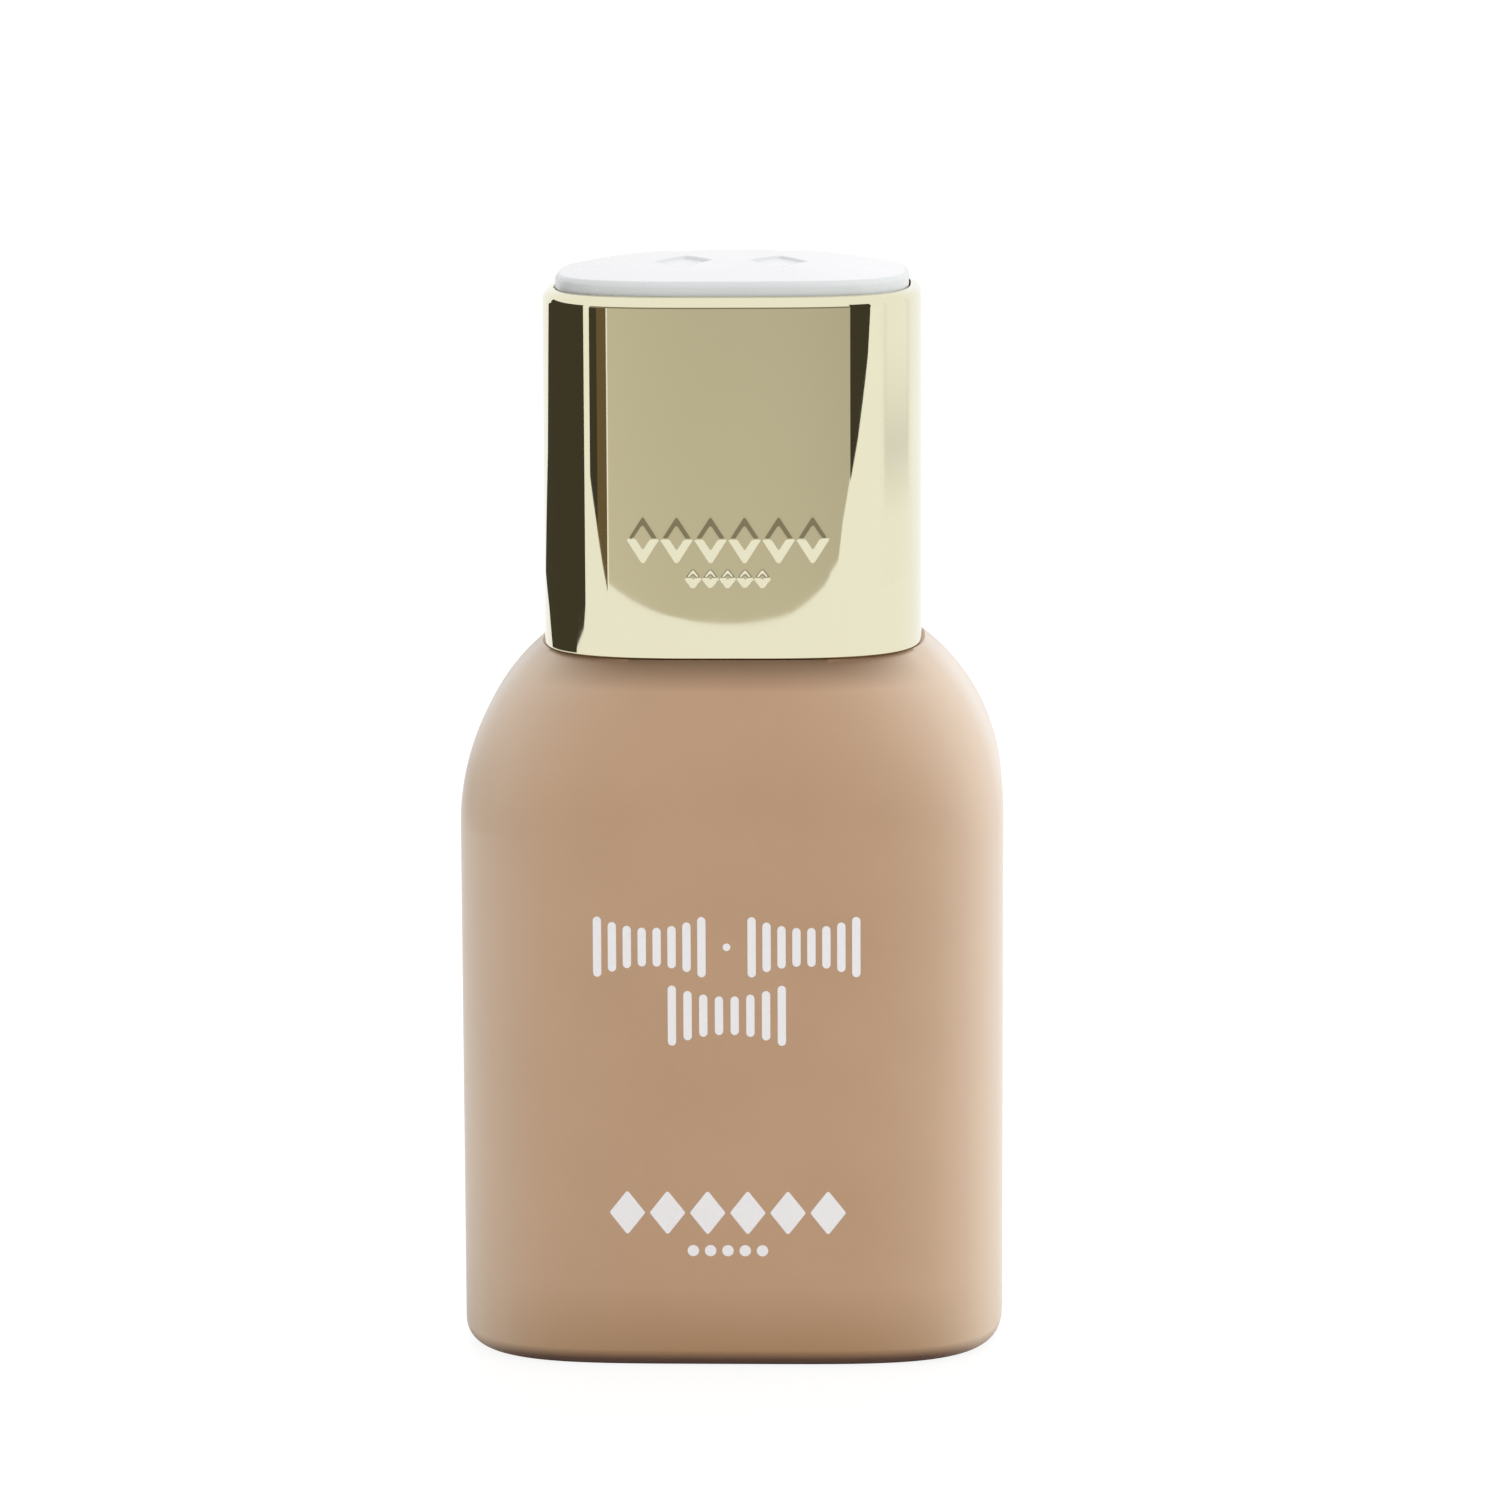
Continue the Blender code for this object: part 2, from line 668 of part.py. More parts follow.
def overcap_liner(look):
    """Round plastic sleeve inside the shell. Its ribs grip the collar and its square foot fills the mouth."""
    bottom = CAP_BOTTOM + 0.5 * MM
    foot_half = CAP_HALF - CAP_WALL - 0.25 * MM
    bore = CLOSURE_RADIUS + 1.2 * MM
    outer = bore + 0.9 * MM
    sections = [
        circle(outer, LINER_TOP),
        circle(outer, bottom + 1.3 * MM),
        (foot_half, bottom + 1.3 * MM, CAP_POWER),
        (foot_half, bottom, CAP_POWER),
        circle(bore + 0.3 * MM, bottom),
        circle(bore, bottom + 0.3 * MM),
        circle(bore, LINER_CEILING),
    ]
    liner = stack("overcap_liner", sections, look, bottom, steps=SQUARE_STEPS)
    rib_count = 8
    rib_reach = 0.42 * MM
    for number in range(rib_count):
        angle = FULL_TURN * (number + 0.5) / rib_count
        bm = bmesh.new()
        size = Matrix.Diagonal((2 * rib_reach, 0.8 * MM, 6 * MM, 1))
        bmesh.ops.create_cube(bm, size=1, matrix=size)
        rib = object_from(f"grip_rib_{number + 1}", bm)
        rib.location = (bore * math.cos(angle), bore * math.sin(angle), bottom + 5 * MM)
        rib.rotation_euler.z = angle
        combine(liner, rib, "UNION")
    return liner


def overcap_top_plate(look):
    """White plate that stands proud of the shell's rim and is slightly crowned."""
    half = CAP_HALF - PLATE_INSET
    edge = 0.25 * MM
    bottom = RECESS_FLOOR + 0.2 * MM
    sections = [
        (half, bottom, CAP_POWER),
        (half, PLATE_TOP - edge, CAP_POWER),
    ]
    crown_steps = 7
    for step in range(crown_steps):
        share = 1 - step / crown_steps
        z = PLATE_TOP + PLATE_CROWN * (1 - share * share)
        sections.append(((half - edge) * share, z, CAP_POWER))
    return stack("overcap_top_plate", sections, look, bottom, steps=SQUARE_STEPS)


# ---------------------------------------------------------------- assembly


def hang(child, parent):
    """Parents one object to another and leaves it in place, so every location is a world position."""
    child.parent = parent
    child.matrix_parent_inverse = Matrix.Translation(-parent.location)


def carrier(name, z, pieces, parent=None):
    """An empty on the shared axis that carries one group of pieces, with their hidden tools."""
    empty = bpy.data.objects.new(name, None)
    empty.location.z = z
    empty.empty_display_size = 5 * MM
    bpy.context.scene.collection.objects.link(empty)
    if parent:
        hang(empty, parent)
    for piece in pieces:
        hang(piece, empty)
        for modifier in piece.modifiers:
            hang(modifier.object, empty)
    return empty


def build():
    glass = material("satin glass", (0.86, 0.80, 0.74), 0.35, transmission=0.9)
    liquid = material("foundation", (0.47, 0.27, 0.15), 0.45)
    label = material("label paper", (0.90, 0.89, 0.86), 0.70)
    foam = material("gasket foam", (0.80, 0.80, 0.78), 0.80)
    clear = material("natural plastic", (0.86, 0.86, 0.82), 0.30, transmission=0.4)
    white = material("white plastic", (0.88, 0.88, 0.88), 0.35)
    ivory = material("soft white plastic", (0.82, 0.82, 0.79), 0.50)
    steel = material("spring steel", (0.62, 0.63, 0.64), 0.25, 1.0)
    gold = material("pale gold", (0.86, 0.76, 0.50), 0.12, 1.0)

    filled_bottle = [glass_bottle(glass), foundation_fill(liquid), shade_label(label)]
    engine = [
        neck_gasket(foam),
        pump_housing(clear),
        pump_retainer(white),
        dip_tube(clear),
        ball_retainer(ivory),
        return_spring(steel),
    ]
    overcap = [overcap_shell(gold), overcap_liner(white), overcap_top_plate(white)]

    bottle = carrier("bottle_group", 0, filled_bottle)
    pump = carrier("pump_group", FLANGE_BOTTOM, engine, bottle)
    carrier("ball_group", BALL_Z, [inlet_ball(steel)], pump)
    carrier("closure_group", CLOSURE_ROOF, [screw_closure(white), collar_trim(gold)], pump)
    carrier("overcap_group", CAP_BOTTOM, overcap, pump)
    plunger = carrier("plunger_group", SEAT_BOTTOM, [pump_stem(white), piston_seat(ivory)], pump)
    carrier("piston_group", PISTON_BOTTOM, [piston(ivory)], plunger)
    carrier("actuator_group", ACTUATOR_BOTTOM, [actuator_button(white)], plunger)


for leftover in list(bpy.data.objects):
    bpy.data.objects.remove(leftover)
build()
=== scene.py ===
import math

import bmesh
import bpy
from mathutils import Matrix, Quaternion, Vector

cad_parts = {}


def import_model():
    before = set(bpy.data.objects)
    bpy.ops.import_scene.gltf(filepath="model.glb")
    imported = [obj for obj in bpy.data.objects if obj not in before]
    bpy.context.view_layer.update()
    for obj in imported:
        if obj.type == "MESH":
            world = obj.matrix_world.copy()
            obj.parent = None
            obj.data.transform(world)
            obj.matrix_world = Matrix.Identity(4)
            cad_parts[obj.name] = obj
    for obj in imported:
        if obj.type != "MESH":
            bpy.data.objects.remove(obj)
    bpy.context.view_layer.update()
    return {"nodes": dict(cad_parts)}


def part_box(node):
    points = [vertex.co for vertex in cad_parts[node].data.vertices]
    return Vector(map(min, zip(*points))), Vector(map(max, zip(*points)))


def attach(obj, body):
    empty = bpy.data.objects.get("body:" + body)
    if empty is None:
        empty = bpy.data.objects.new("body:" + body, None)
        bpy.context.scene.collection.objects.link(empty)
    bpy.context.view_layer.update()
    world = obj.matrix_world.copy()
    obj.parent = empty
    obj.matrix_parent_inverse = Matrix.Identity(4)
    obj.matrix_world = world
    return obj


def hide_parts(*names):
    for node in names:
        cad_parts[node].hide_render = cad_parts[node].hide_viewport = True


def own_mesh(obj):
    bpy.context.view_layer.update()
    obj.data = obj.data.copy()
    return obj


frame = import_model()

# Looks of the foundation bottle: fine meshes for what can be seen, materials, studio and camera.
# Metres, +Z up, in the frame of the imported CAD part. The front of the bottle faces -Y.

BODY_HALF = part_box("glass_bottle")[1].x

MM = 0.001
FULL_TURN = 2 * math.pi

# Edges between faces that meet at more than this angle stay sharp, in degrees
SHARP_ANGLE = 35

# Bottle: plan shape as the power of a superellipse, heel, shoulder, cavity, neck and base
BODY_POWER = 4.4
HEEL_RADIUS = 1.2 * MM
SHOULDER_START = 38.6 * MM
SHOULDER_RADIUS = 15.9 * MM
LEDGE_Z = 50.9 * MM
LEDGE_POWER = 2.7
GLASS_WALL = 4.7 * MM
GLASS_FLOOR = 6.4 * MM
CAVITY_SHOULDER_START = 37.0 * MM
CAVITY_TOP = 48.0 * MM
FLOOR_CORNER = 2.0 * MM
BORE_RADIUS = 5.0 * MM
NECK_RADIUS = 7.8 * MM
NECK_RIM = 0.4 * MM
THREAD_PITCH = 3.175 * MM
THREAD_HEIGHT = 1.0 * MM
THREAD_START = 2.2 * MM
THREAD_TURNS = 1.25
RECESS_RADIUS = 10.5 * MM
RECESS_DEPTH = 1.0 * MM

# Overcap
CAP_POWER = 3.2
CAP_WALL = 0.95 * MM
CAP_ROOF = 1.4 * MM
CAP_EDGE_RADIUS = 0.82 * MM
CAP_FOOT_RADIUS = 0.07 * MM
PLATE_RECESS_DEPTH = 0.6 * MM
PLATE_GAP = 0.15 * MM
PLATE_EDGE = 0.5 * MM
PLATE_CROWN = 1.2 * MM

# Liner of the overcap, collar, button, stem and spring
COLLAR_WALL = 0.4 * MM
COLLAR_EDGE = 0.5 * MM
BUTTON_EDGE = 0.9 * MM
BUTTON_DISH = 0.4 * MM
STEM_RADIUS = 2.05 * MM
NOZZLE_RADIUS = 1.5 * MM
NOZZLE_DROP = 2.6 * MM
LINER_WALL = 0.9 * MM
GRIP_RIBS = 8
GRIP_RIB_HALF = 0.42 * MM
SPRING_RADIUS = 2.6 * MM
WIRE_RADIUS = 0.28 * MM
SPRING_TURNS = 7

# Printed marks on the bottle: bars, lozenges and dots
PRINT_HEIGHT = 0.02 * MM
PRINT_SINK = 0.03 * MM
BARS_IN_ROW = 8
BAR_HALF_WIDTH = 0.3 * MM
BAR_HALF_HEIGHT = 1.4 * MM
BAR_RISE = 0.8 * MM
UPPER_BARS_Z = 31.0 * MM
UPPER_ROW_X = 5.55 * MM
UPPER_ROW_WIDTH = 8.1 * MM
MIDDLE_BARS_Z = 26.0 * MM
MIDDLE_ROW_WIDTH = 8.5 * MM
LOZENGES_Z = 11.5 * MM
DOTS_Z = 8.7 * MM

# Raised marks on the overcap, with their heights above its foot, and sunk marks on the plate
RELIEF_HEIGHT = 0.09 * MM
RELIEF_SOFTNESS = 0.55
RELIEF_HALF_WIDTH = 7.4 * MM
RELIEF_LOW = 4.8 * MM
RELIEF_TOP = 10.6 * MM
RAISED_LARGE_Z = 8.7 * MM
RAISED_SMALL_Z = 5.9 * MM
PLATE_MARK_DEPTH = 0.25 * MM
PLATE_MARK_SOFTNESS = 0.2
PLATE_MARK_X = 3.5 * MM
PLATE_MARK_Y = 5.6 * MM

# Camera: degrees, metres, millimetres of lens, and shares of the picture's width
CAMERA_AZIMUTH = 1.93
CAMERA_ELEVATION = 9.0
CAMERA_DISTANCE = 0.440
CAMERA_AIM_Z = 0.040
CAMERA_ROLL = -0.256
CAMERA_LENS = 141.2
CAMERA_SHIFT = (0.0099, 0.0197)

# Studio: cards on a cylinder round the object, which only reflections see
CARD_RADIUS = 0.300
CARD_TOP = 0.072
CARD_GREY = (0.57, 0.53, 0.45)
CARD_DARK = (0.055, 0.047, 0.032)
CARD_BROWN = (0.155, 0.110, 0.056)
CARD_RIM = (0.26, 0.235, 0.18)
FLOOR_RADIUS = 4.0
WHITE = (1, 1, 1)


# ---------------------------------------------------------------- mesh helpers


def circle(radius, z):
    return (radius, z, 2)


def outline_radius(half, power, angle):
    """Distance from the axis to a superellipse of this half width at an angle."""
    across = abs(math.cos(angle)) ** power + abs(math.sin(angle)) ** power
    return half / across ** (1 / power)


def even_angles(steps):
    return [FULL_TURN * step / steps for step in range(steps)]


def front_angles(half, power, steps, patch, spacing):
    """Angles round a superellipse, packed more closely over a patch at the middle of the front."""
    columns = int(patch / spacing)
    angles = []
    for column in range(-columns, columns + 1):
        x = patch * column / columns
        y = (half**power - abs(x) ** power) ** (1 / power)
        angles.append(math.atan2(-y, x))
    rest = FULL_TURN - (angles[-1] - angles[0])
    for step in range(1, steps):
        angles.append(angles[2 * columns] + rest * step / steps)
    return angles


def ring_points(section, angles):
    half, z, power = section
    points = []
    for angle in angles:
        radius = outline_radius(half, power, angle)
        points.append(Vector((radius * math.cos(angle), radius * math.sin(angle), z)))
    return points


def arc_sections(centre, radii, angles, powers, steps):
    """Sections along an elliptic arc in the half-width and height plane, angles in degrees."""
    sections = []
    for step in range(steps + 1):
        share = step / steps
        angle = math.radians(angles[0] + (angles[1] - angles[0]) * share)
        half = centre[0] + radii[0] * math.cos(angle)
        z = centre[1] + radii[1] * math.sin(angle)
        sections.append((half, z, powers[0] + (powers[1] - powers[0]) * share))
    return sections


def fillet(half, z, radius, start, end, power=2, steps=6):
    """Round edge about a centre at this half width and height, from one angle to another in degrees."""
    return arc_sections((half, z), (radius, radius), (start, end), (power, power), steps)


def wall_sections(half, power, low, high, spacing):
    """Sections up a straight wall at an even spacing, without its two ends."""
    steps = max(2, round((high - low) / spacing))
    return [(half, low + (high - low) * step / steps, power) for step in range(1, steps)]


def skin(rings, closed):
    """A mesh that joins point rings in order: a closed loop of rings, or a stack with its ends filled."""
    bm = bmesh.new()
    loops = []
    for ring in rings:
        loops.append([bm.verts.new(point) for point in ring])
    pairs = list(zip(loops, loops[1:]))
    if closed:
        pairs.append((loops[-1], loops[0]))
    else:
        bm.faces.new(loops[0])
        bm.faces.new(loops[-1])
    for first, second in pairs:
        for here in range(len(first)):
            there = (here + 1) % len(first)
            bm.faces.new((first[here], first[there], second[there], second[here]))
    return bm


def smooth(mesh, sharp=SHARP_ANGLE):
    mesh.shade_smooth()
    mesh.set_sharp_from_angle(angle=math.radians(sharp))


def object_from(name, bm, look, sharp=SHARP_ANGLE):
    bmesh.ops.recalc_face_normals(bm, faces=bm.faces)
    mesh = bpy.data.meshes.new(name)
    bm.to_mesh(mesh)
    bm.free()
    smooth(mesh, sharp)
    made = bpy.data.objects.new(name, mesh)
    bpy.context.scene.collection.objects.link(made)
    mesh.materials.append(look)
    return made


def held(sections):
    """Adds a section close to both ends of every long straight stretch, so that the stretch shades flat."""
    close = 0.06 * MM
    result = [sections[0]]
    for (half, z, power), (next_half, next_z, next_power) in zip(sections, sections[1:]):
        length = math.hypot(next_half - half, next_z - z)
        if length > 10 * close and power == next_power:
            for share in (close / length, 1 - close / length):
                result.append((half + (next_half - half) * share, z + (next_z - z) * share, power))
        result.append((next_half, next_z, next_power))
    return result


def stack(name, sections, look, angles=None, closed=False, shape=None):
    """A piece made of sections round the axis. A shape function may move each point."""
    angles = angles or even_angles(128)
    rings = [ring_points(section, angles) for section in held(sections)]
    if shape:
        for ring in rings:
            for point in ring:
                shape(point)
    return object_from(name, skin(rings, closed), look)


def combine(target, tool, operation):
    """Joins or cuts with a tool, and removes the tool."""
    modifier = target.modifiers.new(tool.name, "BOOLEAN")
    modifier.operation = operation
    modifier.object = tool
    graph = bpy.context.evaluated_depsgraph_get()
    mesh = bpy.data.meshes.new_from_object(target.evaluated_get(graph))
    target.modifiers.clear()
    target.data = mesh
    bpy.data.objects.remove(tool)


def stand_for(piece, body, node):
    """The piece replaces a CAD node and rides on its body."""
    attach(piece, body)
    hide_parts(node)
    return piece


# ---------------------------------------------------------------- material helpers


class Nodes:
    """Short calls for the nodes of one tree. A value is a number, a colour or a node's output."""

    def __init__(self, tree):
        self.tree = tree

    def node(self, kind, **values):
        made = self.tree.nodes.new(kind)
        for name, value in values.items():
            setattr(made, name, value)
        return made

    def feed(self, target, value):
        """Links an input to a node's output, or sets it to a number or a colour."""
        if isinstance(value, bpy.types.NodeSocket):
            self.tree.links.new(value, target)
        elif isinstance(value, tuple):
            target.default_value = (*value, 1)
        else:
            target.default_value = value

    def math(self, operation, first, second=0.0):
        made = self.node("ShaderNodeMath", operation=operation)
        self.feed(made.inputs[0], first)
        self.feed(made.inputs[1], second)
        return made.outputs[0]

    def times(self, first, second):
        return self.math("MULTIPLY", first, second)

    def span(self, value, low, high, from_low=0.0, from_high=1.0, interpolation="LINEAR"):
        """Maps a value to the range low to high, and holds it there."""
        made = self.node("ShaderNodeMapRange", interpolation_type=interpolation)
        names = ("Value", "From Min", "From Max", "To Min", "To Max")
        for name, given in zip(names, (value, from_low, from_high, low, high)):
            self.feed(made.inputs[name], given)
        return made.outputs["Result"]

    def mix(self, share, first, second):
        """A colour between two."""
        made = self.node("ShaderNodeMix", data_type="RGBA")
        for index, value in ((0, share), (6, first), (7, second)):
            self.feed(made.inputs[index], value)
        return made.outputs[2]

    def blend(self, share, first, second):
        """A shader between two."""
        made = self.node("ShaderNodeMixShader")
        for index, value in enumerate((share, first, second)):
            self.feed(made.inputs[index], value)
        return made.outputs[0]

    def light(self, kind, colour, strength):
        """An emission or a background shader."""
        made = self.node(kind)
        self.feed(made.inputs["Color"], colour)
        self.feed(made.inputs["Strength"], strength)
        return made.outputs[0]

    def split(self, vector):
        made = self.node("ShaderNodeSeparateXYZ")
        self.feed(made.inputs[0], vector)
        return made.outputs["X"], made.outputs["Y"], made.outputs["Z"]

    def ray_is(self, kind):
        return self.node("ShaderNodeLightPath").outputs[f"Is {kind} Ray"]


class Look(Nodes):
    """A node material with one Principled shader."""

    def __init__(self, name):
        self.material = bpy.data.materials.new(name)
        self.material.use_nodes = True
        super().__init__(self.material.node_tree)
        self.shader = self.tree.nodes["Principled BSDF"]
        self.place = self.node("ShaderNodeTexCoord").outputs["Object"]

    def set(self, name, value):
        self.feed(self.shader.inputs[name], value)

    def noise(self, size, detail=2.0, stretch=(1, 1, 1)):
        """Noise whose cells are about this size in metres."""
        mapping = self.node("ShaderNodeMapping")
        mapping.inputs["Scale"].default_value = stretch
        self.feed(mapping.inputs["Vector"], self.place)
        made = self.node("ShaderNodeTexNoise")
        self.feed(made.inputs["Scale"], 1 / size)
        self.feed(made.inputs["Detail"], detail)
        self.feed(made.inputs["Vector"], mapping.outputs["Vector"])
        return made.outputs["Fac"]

    def bump(self, height, depth):
        """Shading relief of this depth in metres."""
        made = self.node("ShaderNodeBump")
        self.feed(made.inputs["Distance"], depth)
        self.feed(made.inputs["Height"], height)
        self.set("Normal", made.outputs["Normal"])

    def axes(self):
        return self.split(self.place)

    def hill(self, value, centre, reach):
        """1 where a value is at its centre, falling to 0 at its reach."""
        away = self.math("DIVIDE", self.math("SUBTRACT", value, centre), reach)
        return self.math("MAXIMUM", self.math("SUBTRACT", 1.0, self.times(away, away)), 0.0)

    def steepness(self):
        """0 on a level surface and 1 on one that falls away by more than about 30 degrees."""
        upward = self.split(self.node("ShaderNodeNewGeometry").outputs["Normal"])[2]
        return self.span(upward, 1, 0, 0.87, 0.97)

    def side_slant(self):
        """How far a wall turns away sideways from the viewer: 0 face on, 1 edge on."""
        seen = self.node("ShaderNodeNewGeometry")
        facing = self.node("ShaderNodeVectorMath", operation="DOT_PRODUCT")
        for target, name in zip(facing.inputs, ("Normal", "Incoming")):
            level = self.node("ShaderNodeVectorMath", operation="MULTIPLY")
            self.feed(level.inputs[0], seen.outputs[name])
            level.inputs[1].default_value = (1, 1, 0)
            unit = self.node("ShaderNodeVectorMath", operation="NORMALIZE")
            self.feed(unit.inputs[0], level.outputs[0])
            self.feed(target, unit.outputs[0])
        return self.math("SUBTRACT", 1.0, self.math("ABSOLUTE", facing.outputs["Value"]))

    def show(self, shader):
        """Puts another shader on the surface. Its glow is left out of the list of lamps."""
        self.feed(self.tree.nodes["Material Output"].inputs["Surface"], shader)
        self.material.cycles.emission_sampling = "NONE"

    def emit(self, colour, strength):
        """Turns the material into light of this colour and strength."""
        self.tree.nodes.remove(self.shader)
        self.show(self.light("ShaderNodeEmission", colour, strength))


# ---------------------------------------------------------------- materials


def satin_glass():
    """Frosted glass in the tone of its filling, with a fine etched grain. Painted into its colour: a pale
    sheen on the sides, shade towards the base, a shadow at the heel and a shadow under the cap.
    """
    look = Look("satin_glass")
    cloud = look.noise(9 * MM, 3)
    height = look.axes()[2]
    steepness = look.steepness()
    side_slant = look.side_slant()
    slant = look.times(side_slant, steepness)
    tone = look.mix(look.span(cloud, 0, 1, 0.3, 0.7), (0.430, 0.256, 0.143), (0.456, 0.274, 0.156))
    # Painted shade: the colour darkens towards the bottom over the lowest 6 mm, where the floor shades the
    # glass.
    tone = look.mix(look.span(height, 1, 0, 0, 6 * MM), tone, (0.32, 0.172, 0.068))
    # Painted sheen: where the glass turns sideways from the viewer, its colour is mixed towards a pale tone,
    # for the sheen of the frosted glass under the side lights.
    painted_side_sheen = look.mix(look.span(slant, 0, 1, 0.8, 1.0), (0.745, 0.615, 0.485), (0.80, 0.72, 0.64))
    tone = look.mix(look.span(look.math("POWER", slant, 0.75), 0.046, 0.90), tone, painted_side_sheen)
    # Painted contact shadow: the lowest 1.3 mm of the glass turns dark, less so on the sides.
    lip = look.span(height, 1, 0, 0.55 * MM, 1.3 * MM)
    lip = look.times(lip, look.span(side_slant, 1, 0.45, 0.05, 0.5))
    tone = look.mix(lip, tone, (0.085, 0.036, 0.018))
    # Painted shadow under the cap: the steep shoulder in the 2 mm below the ledge is darkened, most in front.
    painted_cap_shadow = look.times(look.span(height, 0, 1, LEDGE_Z - 2 * MM, LEDGE_Z), steepness)
    painted_cap_shadow = look.times(painted_cap_shadow, look.span(slant, 1, 0.1, 0.05, 0.6))
    look.set("Base Color", look.mix(painted_cap_shadow, tone, (0.15, 0.083, 0.040)))
    grain = look.noise(0.16 * MM, 3)
    look.set("Roughness", look.span(grain, 0.38, 0.46, 0.3, 0.7))
    look.set("IOR", 1.5)
    look.bump(grain, 0.004 * MM)
    return look.material


def foundation():
    look = Look("foundation")
    swirl = look.noise(6 * MM, 4, (1, 1, 0.4))
    look.set("Base Color", look.mix(swirl, (0.40, 0.24, 0.14), (0.50, 0.31, 0.19)))
    look.set("Roughness", look.span(swirl, 0.25, 0.35))
    return look.material


def pale_gold():
    """Vacuum-metallised champagne gold, with a faint unevenness in the lacquer."""
    look = Look("pale_gold")
    haze = look.noise(7 * MM, 2)
    look.set("Base Color", look.mix(haze, (0.80, 0.765, 0.56), (0.82, 0.785, 0.58)))
    look.set("Metallic", 1.0)
    look.set("Roughness", look.span(haze, 0.012, 0.03, 0.3, 0.7))
    look.bump(look.noise(3.5 * MM, 1), 0.0004 * MM)
    return look.material


def plastic(name, light, dark, roughness, grain_size=0.25 * MM, depth=0.004 * MM):
    """Moulded plastic with a fine spark-eroded grain and a slightly uneven tone."""
    look = Look(name)
    cloud = look.noise(5 * MM, 2)
    grain = look.noise(grain_size, 2)
    look.set("Base Color", look.mix(look.span(cloud, 0, 1, 0.35, 0.65), light, dark))
    look.set("Roughness", look.span(grain, roughness - 0.04, roughness + 0.04, 0.3, 0.7))
    look.bump(grain, depth)
    return look.material


def spring_steel():
    look = Look("spring_steel")
    drawn = look.noise(0.4 * MM, 3, (1, 1, 0.1))
    look.set("Base Color", look.mix(drawn, (0.50, 0.51, 0.52), (0.68, 0.69, 0.70)))
    look.set("Metallic", 1.0)
    look.set("Roughness", look.span(drawn, 0.18, 0.34))
    return look.material


def gasket_foam():
    look = Look("gasket_foam")
    pores = look.noise(0.3 * MM, 4)
    look.set("Base Color", look.mix(pores, (0.62, 0.62, 0.60), (0.86, 0.86, 0.84)))
    look.set("Roughness", 0.85)
    look.bump(pores, 0.06 * MM)
    return look.material


def label_paper():
    """Sticker paper with fibres and a printed ring near its edge."""
    look = Look("label_paper")
    fibres = look.noise(0.5 * MM, 5, (1, 0.3, 1))
    paper = look.mix(fibres, (0.84, 0.83, 0.80), (0.92, 0.91, 0.89))
    distance = look.node("ShaderNodeVectorMath", operation="LENGTH")
    look.feed(distance.inputs[0], look.place)
    from_ring = look.math("ABSOLUTE", look.math("SUBTRACT", distance.outputs["Value"], 8.6 * MM))
    ring = look.math("LESS_THAN", from_ring, 0.2 * MM)
    look.set("Base Color", look.mix(ring, paper, (0.16, 0.15, 0.14)))
    look.set("Roughness", 0.7)
    look.bump(fibres, 0.01 * MM)
    return look.material


def white_gloss():
    """Polished white plastic, with painted shade that makes its steep sides a little greyer."""
    look = Look("white_gloss")
    cloud = look.noise(4 * MM, 2)
    top = look.mix(look.span(cloud, 0, 1, 0.35, 0.65), (0.815, 0.815, 0.835), (0.807, 0.807, 0.827))
    # Painted shade: steep faces take a greyer colour, for the weaker light from the front.
    look.set("Base Color", look.mix(look.steepness(), top, (0.66, 0.68, 0.68)))
    look.set("Roughness", look.span(cloud, 0.22, 0.28, 0.3, 0.7))
    return look.material


def print_ink():
    look = Look("print_ink")
    screen = look.noise(0.2 * MM, 2)
    look.set("Base Color", look.mix(screen, (0.76, 0.74, 0.745), (0.84, 0.82, 0.825)))
    look.set("Roughness", look.span(screen, 0.4, 0.55))
    look.bump(screen, 0.003 * MM)
    return look.material


LOOKS = {
    "frosted_glass": satin_glass(),
    "foundation": foundation(),
    "label_paper": label_paper(),
    "gasket_foam": gasket_foam(),
    "natural_plastic": plastic("natural_plastic", (0.80, 0.80, 0.76), (0.72, 0.72, 0.68), 0.32),
    "white_plastic": plastic("white_plastic", (0.86, 0.86, 0.86), (0.80, 0.80, 0.805), 0.34),
    "ivory_plastic": plastic("ivory_plastic", (0.80, 0.79, 0.75), (0.74, 0.73, 0.69), 0.45),
    "spring_steel": spring_steel(),
    "pale_gold": pale_gold(),
    "white_gloss": white_gloss(),
    "print_ink": print_ink(),
}


# ---------------------------------------------------------------- ornament


def lozenge_row(count, pitch, half_width, half_height, z):
    """Lozenges side by side, as (centre x, centre z, half width, half height)."""
    first = -pitch * (count - 1) / 2
    return [(first + pitch * number, z, half_width, half_height) for number in range(count)]


def relief_share(marks, u, v, softness):
    """How far a point is up the slope of a lozenge: 0 outside every mark, 1 in the middle of one.

    Softness is the width of the slope, as a share of the lozenge's smaller half size.
    """
    share = 0.0
    for centre_u, centre_v, half_u, half_v in marks:
        slope = softness * min(half_u, half_v)
        inside = 1 - abs(u - centre_u) / half_u - abs(v - centre_v) / half_v
        distance = inside * half_u * half_v / math.hypot(half_u, half_v)
        rise = min(max(distance / slope + 0.5, 0), 1)
        share = max(share, rise * rise * (3 - 2 * rise))
    return share


